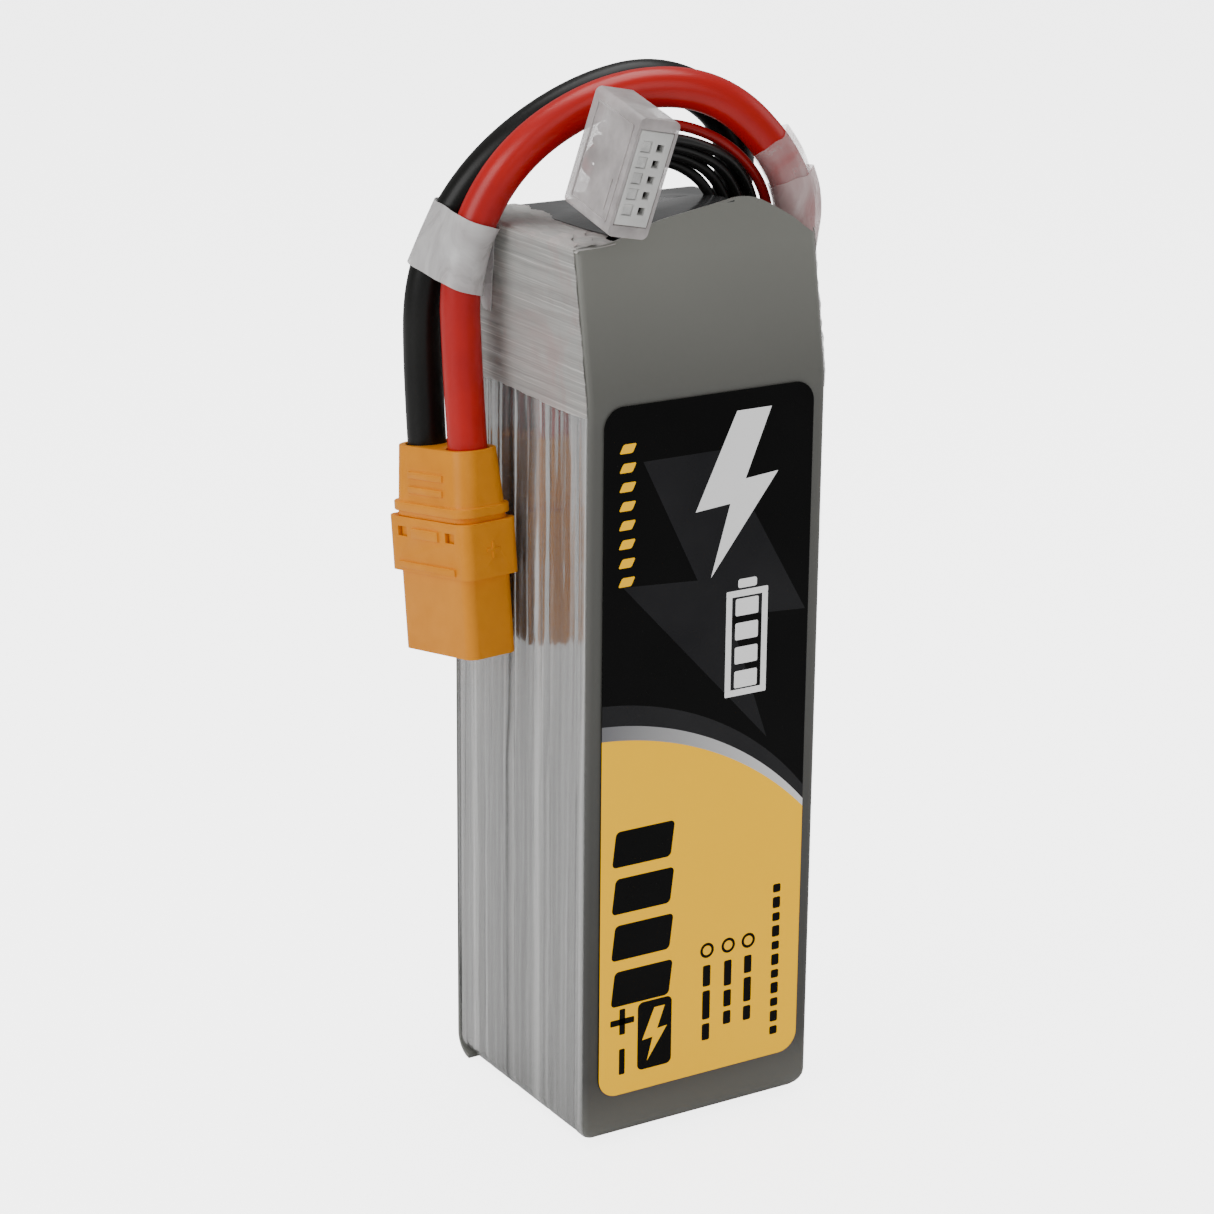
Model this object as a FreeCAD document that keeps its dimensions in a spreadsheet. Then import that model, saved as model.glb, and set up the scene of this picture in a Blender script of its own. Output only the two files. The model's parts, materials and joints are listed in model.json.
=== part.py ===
import FreeCAD, Part
import math
import os
import Sketcher
from FreeCAD import Placement, Rotation, Vector

# A four-cell lithium polymer battery pack, standing on its lower end.
# Z runs up the pack, X runs across the label, and the label faces -Y.
# Leads, wires and plugs are placed from the corner point: the middle of the
# left side's upper edge, at (-pack_width / 2, 0, pack_length).

CELL_COUNT = 4
WIRE_COUNT = 5
UPRIGHT_SHARE = 0.8
FLAT_LIMIT = 1e-6
ARC_SHARE = 0.45
SKETCH_START = 10

SIZES = {
    "pack_length": 150.0,
    "pack_width": 44.5,
    "pack_depth": 43.5,
    "tail_length": 23.5,
    "film_wall": 0.15,
    "card_wall": 0.8,
    "foam_wall": 1.5,
    "foam_margin": 1.0,
    "fit_gap": 0.1,
    "pad_wall": 0.3,
    "tool_overrun": 1.0,
    "cell_corner": 2.0,
    "cell_end_corner": 1.5,
    "seal_wall": 0.6,
    "seal_height": 4.0,
    "seal_margin": 3.0,
    "tab_width": 7.0,
    "tab_wall": 0.2,
    "tab_offset": 6.6,
    "tab_stub": 0.4,
    "slot_gap": 0.3,
    "insulator_wall": 1.0,
    "board_wall": 1.2,
    "board_margin": 1.0,
    "terminal_radius": 2.4,
    "card_foot": 0.3,
    "flange_depth": 3.3,
    "front_lean": 4.25,
    "back_lean": 3.0,
    "crown_height": 5.0,
    "crown_radius": 70.0,
    "crown_shift": 6.0,
    "tape_wall": 0.25,
    "tape_front_gap": 0.2,
    "flap_width": 10.0,
    "flap_wall": 0.2,
    "plate_wall": 1.0,
    "exit_gap": 0.6,
    "side_exit_height": 17.5,
    "end_pad_width": 17.5,
    "end_pad_height": 4.0,
    "end_pad_ridge": 2.0,
    "label_width": 39.2,
    "label_height": 117.3,
    "label_foot": 8.5,
    "label_wall": 0.12,
    "label_corner": 3.5,
    "lead_radius": 3.2,
    "lead_spacing": 10.8,
    "lead_straight": 18.5,
    "wire_radius": 0.85,
    "plug_out": 7.55,
    "plug_back": 8.6,
    "plug_drop": 47.4,
    "plug_tilt": -7.4,
    "plug_turn": 8.8,
    "collar_width": 21.0,
    "collar_thickness": 11.0,
    "collar_height": 9.0,
    "body_width": 18.4,
    "body_thickness": 9.6,
    "body_height": 13.2,
    "housing_corner": 1.8,
    "socket_radius": 2.25,
    "socket_depth": 14.0,
    "contact_radius": 2.75,
    "contact_recess": 1.7,
    "cup_height": 4.5,
    "cup_radius": 2.1,
    "cup_depth": 5.0,
    "cover_height": 11.5,
    "cover_foot_width": 19.6,
    "cover_foot_thickness": 10.2,
    "cover_top_width": 18.8,
    "cover_top_thickness": 8.6,
    "cover_corner": 3.2,
    "cover_gap": 0.3,
    "bead_lift": 0.9,
    "bead_height": 1.5,
    "bead_proud": 0.4,
    "rib_length": 9.0,
    "rib_height": 1.1,
    "rib_proud": 0.4,
    "rib_lift": 4.0,
    "rib_step": 2.4,
    "rib_sink": 0.6,
    "tongue_offset": 6.3,
    "tongue_width": 2.0,
    "tongue_wall": 0.7,
    "tongue_length": 3.6,
    "tongue_inset": 0.65,
    "tongue_gap": 0.2,
    "window_height": 1.6,
    "window_drop": 1.6,
    "bar_length": 7.0,
    "long_rib_length": 15.0,
    "mark_length": 2.6,
    "mark_wall": 0.5,
    "mark_proud": 0.2,
    "clip_out": 4.35,
    "clip_forward": 29.7,
    "clip_rise": 12.6,
    "clip_tilt": 12.0,
    "clip_lean": 11.2,
    "clip_length": 18.8,
    "clip_thickness": 7.2,
    "clip_depth": 14.0,
    "clip_corner": 1.0,
    "clip_gap": 0.15,
    "pin_pitch": 2.5,
    "pin_shift": 1.2,
    "pin_hole": 1.0,
    "pin_depth": 5.0,
    "connector_length": 14.9,
    "connector_thickness": 5.75,
    "connector_depth": 9.8,
    "crimp_size": 1.6,
    "crimp_length": 6.0,
    "crimp_recess": 1.2,
    "arm_wall": 0.6,
    "wire_straight": 2.0,
    "lance_length": 2.4,
    "lance_recess": 0.3,
    "cavity_gap": 0.1,
    "lead_tape_out": 5.64,
    "lead_tape_back": 10.75,
    "lead_tape_drop": 3.5,
    "lead_tape_length": 11.0,
    "lead_tape_apart": 4.25,
    "lead_tape_gap": 0.75,
    "lead_tape_wall": 0.3,
    "lead_tape_lean": 16.8,
    "lead_tape_tilt": 7.2,
    "bridge_reach": 1.35,
    "tail_shift": 1.0,
    "tail_width": 6.5,
    "tail_drop": 11.0,
    "wrap_gap": 0.25,
    "wrap_wall": 0.3,
}

# Routes are measured from the corner point. The power leads leave the plug
# straight, then go over the arch and down through the end plate to the board.
RED_LEAD_POINTS = [
    (-6.95, 7.2, -5.0),
    (0.75, 4.4, 11.5),
    (15.75, -1.3, 21.4),
    (31.75, -7.3, 21.3),
    (42.65, -11.4, 9.5),
    (45.05, -12.4, -2.5),
    (40.0, -12.6, -13.5),
]
BLACK_LEAD_POINTS = [
    (-8.35, 16.2, -8.0),
    (-0.25, 12.8, 8.0),
    (13.75, 7.2, 19.2),
    (27.75, 1.6, 22.8),
    (38.85, -2.7, 14.5),
    (38.05, -2.3, -0.5),
    (35.85, -1.4, -13.5),
]
# The balance wires run from the back of their plug to the board, lowest pin first.
WIRE_POINTS = [
    [
        (8.45, -5.4, 11.2),
        (15.75, -3.2, 15.4),
        (24.75, -6.4, 16.2),
        (34.75, -7.6, 11.9),
        (41.75, -7.9, 3.5),
        (41.55, -7.8, -7.0),
        (41.55, -7.8, -17.3),
    ],
    [
        (8.65, -7.0, 13.0),
        (17.65, -5.8, 11.0),
        (25.75, -5.4, 9.4),
        (30.85, -7.0, 5.2),
        (33.45, -7.7, -3.0),
        (33.25, -7.7, -10.2),
        (33.25, -7.7, -17.3),
    ],
    [
        (8.85, -8.4, 15.0),
        (17.85, -7.3, 12.4),
        (26.25, -6.8, 10.7),
        (32.25, -7.4, 6.5),
        (35.45, -7.7, -2.0),
        (35.55, -7.7, -9.7),
        (35.55, -7.7, -17.3),
    ],
    [
        (9.05, -9.8, 17.0),
        (18.05, -8.9, 13.8),
        (26.25, -8.3, 12.0),
        (33.85, -7.9, 7.8),
        (37.45, -7.7, -0.4),
        (37.55, -7.7, -9.0),
        (37.55, -7.7, -17.3),
    ],
    [
        (9.25, -11.2, 18.5),
        (18.25, -10.4, 15.0),
        (26.25, -9.9, 13.4),
        (35.25, -8.3, 9.3),
        (39.45, -7.7, 1.5),
        (39.55, -7.7, -8.0),
        (39.55, -7.7, -17.3),
    ],
]

doc = FreeCAD.newDocument("lipo_pack")
sheet = doc.addObject("Spreadsheet::Sheet", "Sizes")
for row, (alias, value) in enumerate(SIZES.items(), start=1):
    sheet.set(f"A{row}", alias)
    sheet.set(f"B{row}", str(value))
    sheet.setAlias(f"B{row}", alias)
doc.recompute()

# Lengths that several pieces share, as expressions on the sheet.
LEFT = "(-Sizes.pack_width / 2)"
TOP = "Sizes.pack_length"
CARD_SIDE = "(Sizes.pack_width / 2 - Sizes.film_wall)"
CARD_FACE = "(Sizes.pack_depth / 2 - Sizes.film_wall)"
CARD_BACK = f"({CARD_FACE} - Sizes.card_wall)"
CELL_SIDE = f"({CARD_SIDE} - Sizes.card_wall - Sizes.fit_gap)"
CELL_TOP = "(Sizes.pack_length - Sizes.tail_length)"
STACK_FRONT = f"(Sizes.foam_wall - {CARD_BACK})"
STACK_DEPTH = f"({CARD_BACK} - {STACK_FRONT})"
CELL_THICKNESS = f"(({STACK_DEPTH} - {CELL_COUNT - 1} * Sizes.pad_wall) / {CELL_COUNT})"
SEAL_TOP = f"({CELL_TOP} + Sizes.seal_height)"
BOARD_FOOT = f"({SEAL_TOP} + Sizes.insulator_wall)"
BOARD_TOP = f"({BOARD_FOOT} + Sizes.board_wall)"
PLATE_TOP = f"({TOP} - Sizes.flap_wall)"
PLATE_FOOT = f"({PLATE_TOP} - Sizes.plate_wall)"
INSIDE_SIDE = f"({CARD_SIDE} - Sizes.fit_gap)"

nodes = []


def size(alias):
    return float(sheet.get(alias))


def node(item, label):
    """Names a finished piece and lists it for export."""
    item.Label = label
    nodes.append(item)
    return item


def bind(item, **expressions):
    for name, expression in expressions.items():
        item.setExpression(name, expression)
    return item


def move(item, x="0", y="0", z="0"):
    for axis, expression in zip("xyz", (x, y, z)):
        item.setExpression(f"Placement.Base.{axis}", expression)
    return item


def box(name, x, y, z):
    """A box between pairs of low and high expressions."""
    item = doc.addObject("Part::Box", name)
    for side, (low, high) in zip(("Length", "Width", "Height"), (x, y, z)):
        item.setExpression(side, f"({high}) - ({low})")
    return move(item, x[0], y[0], z[0])


def mirrored(half):
    return (f"-({half})", half)


def around(centre, half):
    return (f"{centre} - ({half})", f"{centre} + ({half})")


def cylinder(name, radius, z, x="0", y="0"):
    item = doc.addObject("Part::Cylinder", name)
    bind(item, Radius=radius, Height=f"({z[1]}) - ({z[0]})")
    return move(item, x, y, z[0])


def leaning_block(name, x, foot, top, z):
    """A block between z values whose y range moves from foot to top."""
    item = doc.addObject("Part::Wedge", name)
    bind(item, Xmin=x[0], Xmax=x[1], X2min=x[0], X2max=x[1])
    bind(item, Ymin=z[0], Ymax=z[1])
    bind(item, Zmin=f"-({foot[1]})", Zmax=f"-({foot[0]})")
    bind(item, Z2min=f"-({top[1]})", Z2max=f"-({top[0]})")
    item.Placement.Rotation = Rotation(Vector(1, 0, 0), 90)
    return item


def fuse(name, pieces):
    item = doc.addObject("Part::MultiFuse", name)
    item.Shapes = pieces
    return item


def cut(name, base, tool):
    item = doc.addObject("Part::Cut", name)
    item.Base = base
    item.Tool = tool
    return item


def common(name, pieces):
    item = doc.addObject("Part::MultiCommon", name)
    item.Shapes = pieces
    return item


def origin_plane(body, role):
    return next(plane for plane in body.Origin.OriginFeatures if plane.Role == role)


def upright_edges(shape):
    """Names of the straight edges that run from the lower end to the upper end."""
    names = []
    for number, edge in enumerate(shape.Edges, start=1):
        ends = [vertex.Point for vertex in edge.Vertexes]
        if len(ends) == 2 and abs(ends[0].z - ends[1].z) > UPRIGHT_SHARE * shape.BoundBox.ZLength:
            names.append(f"Edge{number}")
    return names


def end_edges(shape):
    """Names of the edges around the lower and upper ends."""
    names = []
    for number, edge in enumerate(shape.Edges, start=1):
        flat = edge.BoundBox.ZLength < FLAT_LIMIT
        if flat and len(edge.Vertexes) == 2:
            names.append(f"Edge{number}")
    return names


def rectangle_sketch(body, name, width, height):
    """A rectangle centred on the body's XY plane, with both sides named."""
    sketch = body.newObject("Sketcher::SketchObject", name)
    sketch.AttachmentSupport = (origin_plane(body, "XY_Plane"), [""])
    sketch.MapMode = "FlatFace"
    half = SKETCH_START / 2
    corners = [Vector(x * half, y * half, 0) for x, y in ((-1, -1), (1, -1), (1, 1), (-1, 1))]
    for start, end in zip(corners, corners[1:] + corners[:1]):
        sketch.addGeometry(Part.LineSegment(start, end), False)
    for line in range(4):
        sketch.addConstraint(Sketcher.Constraint("Coincident", line, 2, (line + 1) % 4, 1))
        direction = "Horizontal" if line % 2 == 0 else "Vertical"
        sketch.addConstraint(Sketcher.Constraint(direction, line))
    sketch.addConstraint(Sketcher.Constraint("Symmetric", 0, 1, 1, 2, -1, 1))
    wide = sketch.addConstraint(Sketcher.Constraint("DistanceX", 0, 1, 0, 2, SKETCH_START))
    tall = sketch.addConstraint(Sketcher.Constraint("DistanceY", 1, 1, 1, 2, SKETCH_START))
    sketch.renameConstraint(wide, "width")
    sketch.renameConstraint(tall, "height")
    sketch.setExpression("Constraints.width", width)
    sketch.setExpression("Constraints.height", height)
    return sketch


def fillet(body, base, edges, radius):
    item = body.newObject("PartDesign::Fillet", f"{body.Name}_fillet")
    item.Base = (base, edges)
    item.setExpression("Radius", radius)
    doc.recompute()
    return item


def rounded_block(name, width, depth, height, radius):
    """A body on the XY plane, centred on Z, with its four upright edges rounded."""
    body = doc.addObject("PartDesign::Body", name)
    sketch = rectangle_sketch(body, f"{name}_sketch", width, depth)
    pad = body.newObject("PartDesign::Pad", f"{name}_pad")
    pad.Profile = sketch
    pad.setExpression("Length", height)
    doc.recompute()
    fillet(body, pad, upright_edges(pad.Shape), radius)
    return body


def placed(item, placement):
    item.Placement = placement
    return item


def corner_point(point):
    """A route's point, moved from the corner point to the pack's own origin."""
    return Vector(*point) + Vector(-size("pack_width") / 2, 0, size("pack_length"))


def route_edges(points, label):
    """Straight runs joined by tangent arcs, each arc as large as its runs allow."""
    edges = []
    radii = []
    start = points[0]
    for before, point, after in zip(points, points[1:], points[2:]):
        incoming = point - before
        outgoing = after - point
        reach = ARC_SHARE * min(incoming.Length, outgoing.Length)
        half_turn = incoming.getAngle(outgoing) / 2
        radius = reach / math.tan(half_turn)
        arc_start = point - incoming.normalize() * reach
        arc_end = point + outgoing.normalize() * reach
        inward = ((arc_start + arc_end) * 0.5 - point).normalize()
        middle = point + inward * (radius / math.cos(half_turn) - radius)
        edges.append(Part.LineSegment(start, arc_start).toShape())
        edges.append(Part.Arc(arc_start, middle, arc_end).toShape())
        radii.append(round(radius, 1))
        start = arc_end
    edges.append(Part.LineSegment(start, points[-1]).toShape())
    print(label, "arc radii", radii)
    return edges


def ring_sweep(edges, outer, inner=0.0):
    """A tube along joined edges, hollow where an inner radius is given."""
    path = Part.Wire(edges)
    start = edges[0].Vertexes[0].Point
    direction = edges[0].tangentAt(edges[0].FirstParameter)
    solid = path.makePipeShell([circle_wire(start, direction, outer)], True, True)
    if inner > 0:
        solid = solid.cut(path.makePipeShell([circle_wire(start, direction, inner)], True, True))
    return solid


def lead_ratio(tube, length, radius):
    """A tube's volume as a share of its section times its length."""
    return round(tube.Volume / (math.pi * size(radius) ** 2 * length), 4)


def circle_wire(centre, direction, radius):
    return Part.Wire(Part.makeCircle(radius, centre, direction))


def feature(name, shape):
    item = doc.addObject("Part::Feature", name)
    item.Shape = shape
    return item


# The cells, with the seal and the two tabs on each one's upper end.
slots = []
for index in range(CELL_COUNT):
    cell_number = index + 1
    cell_front = f"{STACK_FRONT} + {index} * ({CELL_THICKNESS} + Sizes.pad_wall)"
    cell_middle = f"({cell_front} + {CELL_THICKNESS} / 2)"
    pouch = rounded_block(
        f"pouch_{cell_number}",
        f"2 * {CELL_SIDE}",
        CELL_THICKNESS,
        f"{CELL_TOP} - Sizes.card_wall",
        "Sizes.cell_corner",
    )
    fillet(pouch, pouch.Tip, end_edges(pouch.Tip.Shape), "Sizes.cell_end_corner")
    move(pouch, y=cell_middle, z="Sizes.card_wall")
    seal = box(
        f"seal_{cell_number}",
        mirrored(f"{CELL_SIDE} - Sizes.seal_margin"),
        around(cell_middle, "Sizes.seal_wall / 2"),
        (f"{CELL_TOP} - Sizes.cell_end_corner", SEAL_TOP),
    )
    node(fuse(f"cell_with_seal_{cell_number}", [pouch, seal]), f"cell_{cell_number}")
    for side, sign in (("positive", 1), ("negative", -1)):
        turn = sign if index % 2 == 0 else -sign
        tab_middle = f"({turn} * Sizes.tab_offset)"
        tab = box(
            f"tab_{side}_{cell_number}",
            around(tab_middle, "Sizes.tab_width / 2"),
            around(cell_middle, "Sizes.tab_wall / 2"),
            (SEAL_TOP, f"{BOARD_TOP} + Sizes.tab_stub"),
        )
        node(tab, f"cell_{cell_number}_tab_{side}")
        slot = box(
            f"slot_{side}_{cell_number}",
            around(tab_middle, "Sizes.tab_width / 2 + Sizes.slot_gap"),
            around(cell_middle, "Sizes.tab_wall / 2 + Sizes.slot_gap"),
            (f"{SEAL_TOP} - Sizes.slot_gap", f"{BOARD_TOP} + Sizes.slot_gap"),
        )
        slots.append(slot)

for index in range(1, CELL_COUNT):
    pad_front = f"({STACK_FRONT} + {index} * ({CELL_THICKNESS} + Sizes.pad_wall) - Sizes.pad_wall)"
    pad = box(
        f"pad_{index}",
        mirrored(f"{CELL_SIDE} - Sizes.seal_margin"),
        (pad_front, f"{pad_front} + Sizes.pad_wall"),
        ("Sizes.card_wall + Sizes.seal_margin", f"{CELL_TOP} - Sizes.seal_margin"),
    )
    node(pad, f"cell_pad_{index}")

# The board above the seals, on its foam insulator.
board_slots = fuse("board_slots", slots)
board_x = mirrored(f"{CELL_SIDE} - Sizes.board_margin")
board_y = (f"{STACK_FRONT} + Sizes.board_margin", f"{CARD_BACK} - Sizes.board_margin")
insulator = box("insulator_sheet", board_x, board_y, (SEAL_TOP, BOARD_FOOT))
node(cut("slotted_insulator", insulator, board_slots), "board_insulator")
board = box("board_sheet", board_x, board_y, (BOARD_FOOT, BOARD_TOP))
node(cut("slotted_board", board, board_slots), "balance_board")

# Cards and foam around the stack.
straight_z = ("Sizes.card_foot", CELL_TOP)
lean_rate = "Sizes.front_lean / Sizes.tail_length"
crown_rise = "(Sizes.tail_length + Sizes.crown_height + Sizes.tool_overrun)"
card_front = box(
    "card_front", mirrored(CARD_SIDE), (f"-{CARD_FACE}", f"-{CARD_BACK}"), straight_z
)
card_leaning = leaning_block(
    "card_leaning",
    mirrored(CARD_SIDE),
    (f"-{CARD_FACE}", f"-{CARD_BACK}"),
    (
        f"-{CARD_FACE} + {lean_rate} * {crown_rise}",
        f"-{CARD_BACK} + {lean_rate} * {crown_rise}",
    ),
    (CELL_TOP, f"{CELL_TOP} + {crown_rise}"),
)
crown = doc.addObject("Part::Cylinder", "crown")
bind(crown, Radius="Sizes.crown_radius", Height="Sizes.pack_depth")
crown.Placement.Rotation = Rotation(Vector(1, 0, 0), 90)
move(
    crown,
    "Sizes.crown_shift",
    "Sizes.pack_depth / 2",
    f"{TOP} + Sizes.crown_height - Sizes.crown_radius",
)
card_top = common("card_top", [card_leaning, crown])
flanges = []
for side, low, high in (
    ("left", f"-{CARD_SIDE}", f"-{CARD_SIDE} + Sizes.card_wall"),
    ("right", f"{CARD_SIDE} - Sizes.card_wall", CARD_SIDE),
):
    flange_y = (f"-{CARD_BACK}", f"Sizes.flange_depth - {CARD_FACE}")
    flange_top = tuple(f"{edge} + Sizes.front_lean" for edge in flange_y)
    flanges.append(box(f"flange_{side}", (low, high), flange_y, straight_z))
    flanges.append(
        leaning_block(f"flange_{side}_top", (low, high), flange_y, flange_top, (CELL_TOP, PLATE_FOOT))
    )
exit_half = "(Sizes.lead_radius + Sizes.wrap_gap + Sizes.wrap_wall + Sizes.exit_gap)"
side_exit = box(
    "side_exit",
    (f"{CARD_SIDE} - Sizes.tool_overrun", f"{CARD_SIDE} + Sizes.tool_overrun"),
    around(str(RED_LEAD_POINTS[-2][1]), exit_half),
    (f"{TOP} - Sizes.side_exit_height", f"{TOP} + Sizes.tool_overrun"),
)
card = fuse("card_with_flanges", [card_front, card_top, *flanges])
node(cut("card_with_exit", card, side_exit), "front_card")

back_y = (CARD_BACK, CARD_FACE)
back_top = tuple(f"{edge} - Sizes.back_lean" for edge in back_y)
back_straight = box("back_straight", mirrored(CARD_SIDE), back_y, straight_z)
back_leaning = leaning_block(
    "back_leaning", mirrored(CARD_SIDE), back_y, back_top, (CELL_TOP, PLATE_TOP)
)
node(fuse("back_card_sheet", [back_straight, back_leaning]), "back_card")

front_foam = box(
    "front_foam_sheet",
    mirrored(f"{CELL_SIDE} - Sizes.foam_margin"),
    (f"-{CARD_BACK}", STACK_FRONT),
    ("Sizes.card_wall + Sizes.foam_margin", f"{CELL_TOP} - Sizes.foam_margin"),
)
node(front_foam, "front_foam")
base_card = box(
    "base_card_sheet", mirrored(CELL_SIDE), (f"-{CARD_BACK}", CARD_BACK), ("0", "Sizes.card_wall")
)
node(base_card, "base_card")

# The end plate, with an opening for the leads and the wires, and the pad on it.
plate_front = f"(-{CARD_BACK} + Sizes.front_lean + Sizes.fit_gap)"
plate_back = f"({CARD_BACK} - Sizes.back_lean - Sizes.fit_gap)"
exit_left = f"({LEFT} + {WIRE_POINTS[1][-4][0]} - Sizes.wire_radius - Sizes.exit_gap)"
exit_front = f"({RED_LEAD_POINTS[-2][1]} - {exit_half})"
exit_back = f"({BLACK_LEAD_POINTS[-2][1]} + Sizes.lead_radius + Sizes.exit_gap)"
plate = box("plate_sheet", mirrored(INSIDE_SIDE), (plate_front, plate_back), (PLATE_FOOT, PLATE_TOP))
plate_exit = box(
    "plate_exit",
    (exit_left, "Sizes.pack_width"),
    (exit_front, exit_back),
    (f"{PLATE_FOOT} - Sizes.fit_gap", f"{TOP} + Sizes.fit_gap"),
)
node(cut("plate_with_exit", plate, plate_exit), "end_plate")
flap_right = f"({LEFT} + Sizes.flap_width)"
ridge_front = f"({plate_front} + Sizes.front_lean * Sizes.end_pad_height / Sizes.tail_length)"
end_pad = doc.addObject("Part::Wedge", "end_pad_block")
end_pad.Placement.Rotation = Rotation(Vector(1, 0, 0), 90)
bind(
    end_pad,
    Xmin=f"{flap_right} + Sizes.exit_gap",
    Xmax=f"{flap_right} + Sizes.exit_gap + Sizes.end_pad_width",
    X2min=f"{flap_right} + Sizes.exit_gap + Sizes.end_pad_ridge",
    X2max=f"{flap_right} + Sizes.exit_gap + Sizes.end_pad_width - Sizes.end_pad_ridge",
    Ymin=PLATE_TOP,
    Ymax=f"{PLATE_TOP} + Sizes.end_pad_height",
    Zmin=f"-{plate_back}",
    Zmax=f"-{ridge_front}",
    Z2min=f"-({ridge_front} + Sizes.end_pad_ridge)",
    Z2max=f"-{ridge_front}",
)
node(end_pad, "end_pad")

# The clear shrink sleeve, the label on it, and the fibre tape around the tail.
sleeve_outer = box(
    "sleeve_outer",
    mirrored("Sizes.pack_width / 2"),
    mirrored("Sizes.pack_depth / 2"),
    ("Sizes.card_foot", CELL_TOP),
)
sleeve_inner = box(
    "sleeve_inner",
    mirrored(CARD_SIDE),
    mirrored(CARD_FACE),
    ("-Sizes.tool_overrun", f"{CELL_TOP} + Sizes.tool_overrun"),
)
node(cut("sleeve_tube", sleeve_outer, sleeve_inner), "shrink_sleeve")

label = rounded_block(
    "label_sheet",
    "Sizes.label_width",
    "Sizes.label_height",
    "Sizes.label_wall",
    "Sizes.label_corner",
)
label.Placement.Rotation = Rotation(Vector(1, 0, 0), 90)
move(label, y="-Sizes.pack_depth / 2", z="Sizes.label_foot + Sizes.label_height / 2")
node(label, "front_label")

tape_side = f"({CARD_SIDE} + Sizes.tape_wall)"
tape_back = f"({CARD_FACE} + Sizes.tape_wall)"
tape_front = f"(Sizes.tape_front_gap - {CARD_FACE})"
tape_z = (CELL_TOP, TOP)
tape_outer = leaning_block(
    "tape_outer",
    mirrored(tape_side),
    (tape_front, tape_back),
    (f"{tape_front} + Sizes.front_lean", f"{tape_back} - Sizes.back_lean"),
    tape_z,
)
tape_inner = leaning_block(
    "tape_inner",
    mirrored(CARD_SIDE),
    (f"{tape_front} - Sizes.tool_overrun", CARD_FACE),
    (f"{tape_front} - Sizes.tool_overrun + Sizes.front_lean", f"{CARD_FACE} - Sizes.back_lean"),
    tape_z,
)
tape_band = cut("tape_band", cut("tape_tube", tape_outer, tape_inner), side_exit)
flap = box(
    "tape_flap",
    (f"-{CARD_SIDE}", flap_right),
    (plate_front, plate_back),
    (PLATE_TOP, TOP),
)
node(fuse("tape_with_flap", [tape_band, flap]), "fibre_tape")

# The main plug, built upright about its own seam and then turned into place.
plug_place = Placement(
    corner_point((-size("plug_out"), size("plug_back"), -size("plug_drop"))),
    Rotation(Vector(1, 0, 0), size("plug_tilt")) * Rotation(Vector(0, 0, 1), size("plug_turn")),
)
COLLAR_FOOT = "(-Sizes.collar_height)"
MOUTH = "(-Sizes.collar_height - Sizes.body_height)"
LEAD_ENDS = (("positive", "(-Sizes.lead_spacing / 2)"), ("negative", "(Sizes.lead_spacing / 2)"))
FACES = (("left", -1), ("right", 1))


def face_bar(name, sign, half_thickness, proud, y, z):
    """A raised bar on one broad face of the plug, sunk a little into the wall."""
    inner = f"{sign} * ({half_thickness} - Sizes.rib_sink)"
    outer = f"{sign} * ({half_thickness} + {proud})"
    return box(name, (inner, outer) if sign > 0 else (outer, inner), y, z)


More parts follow.
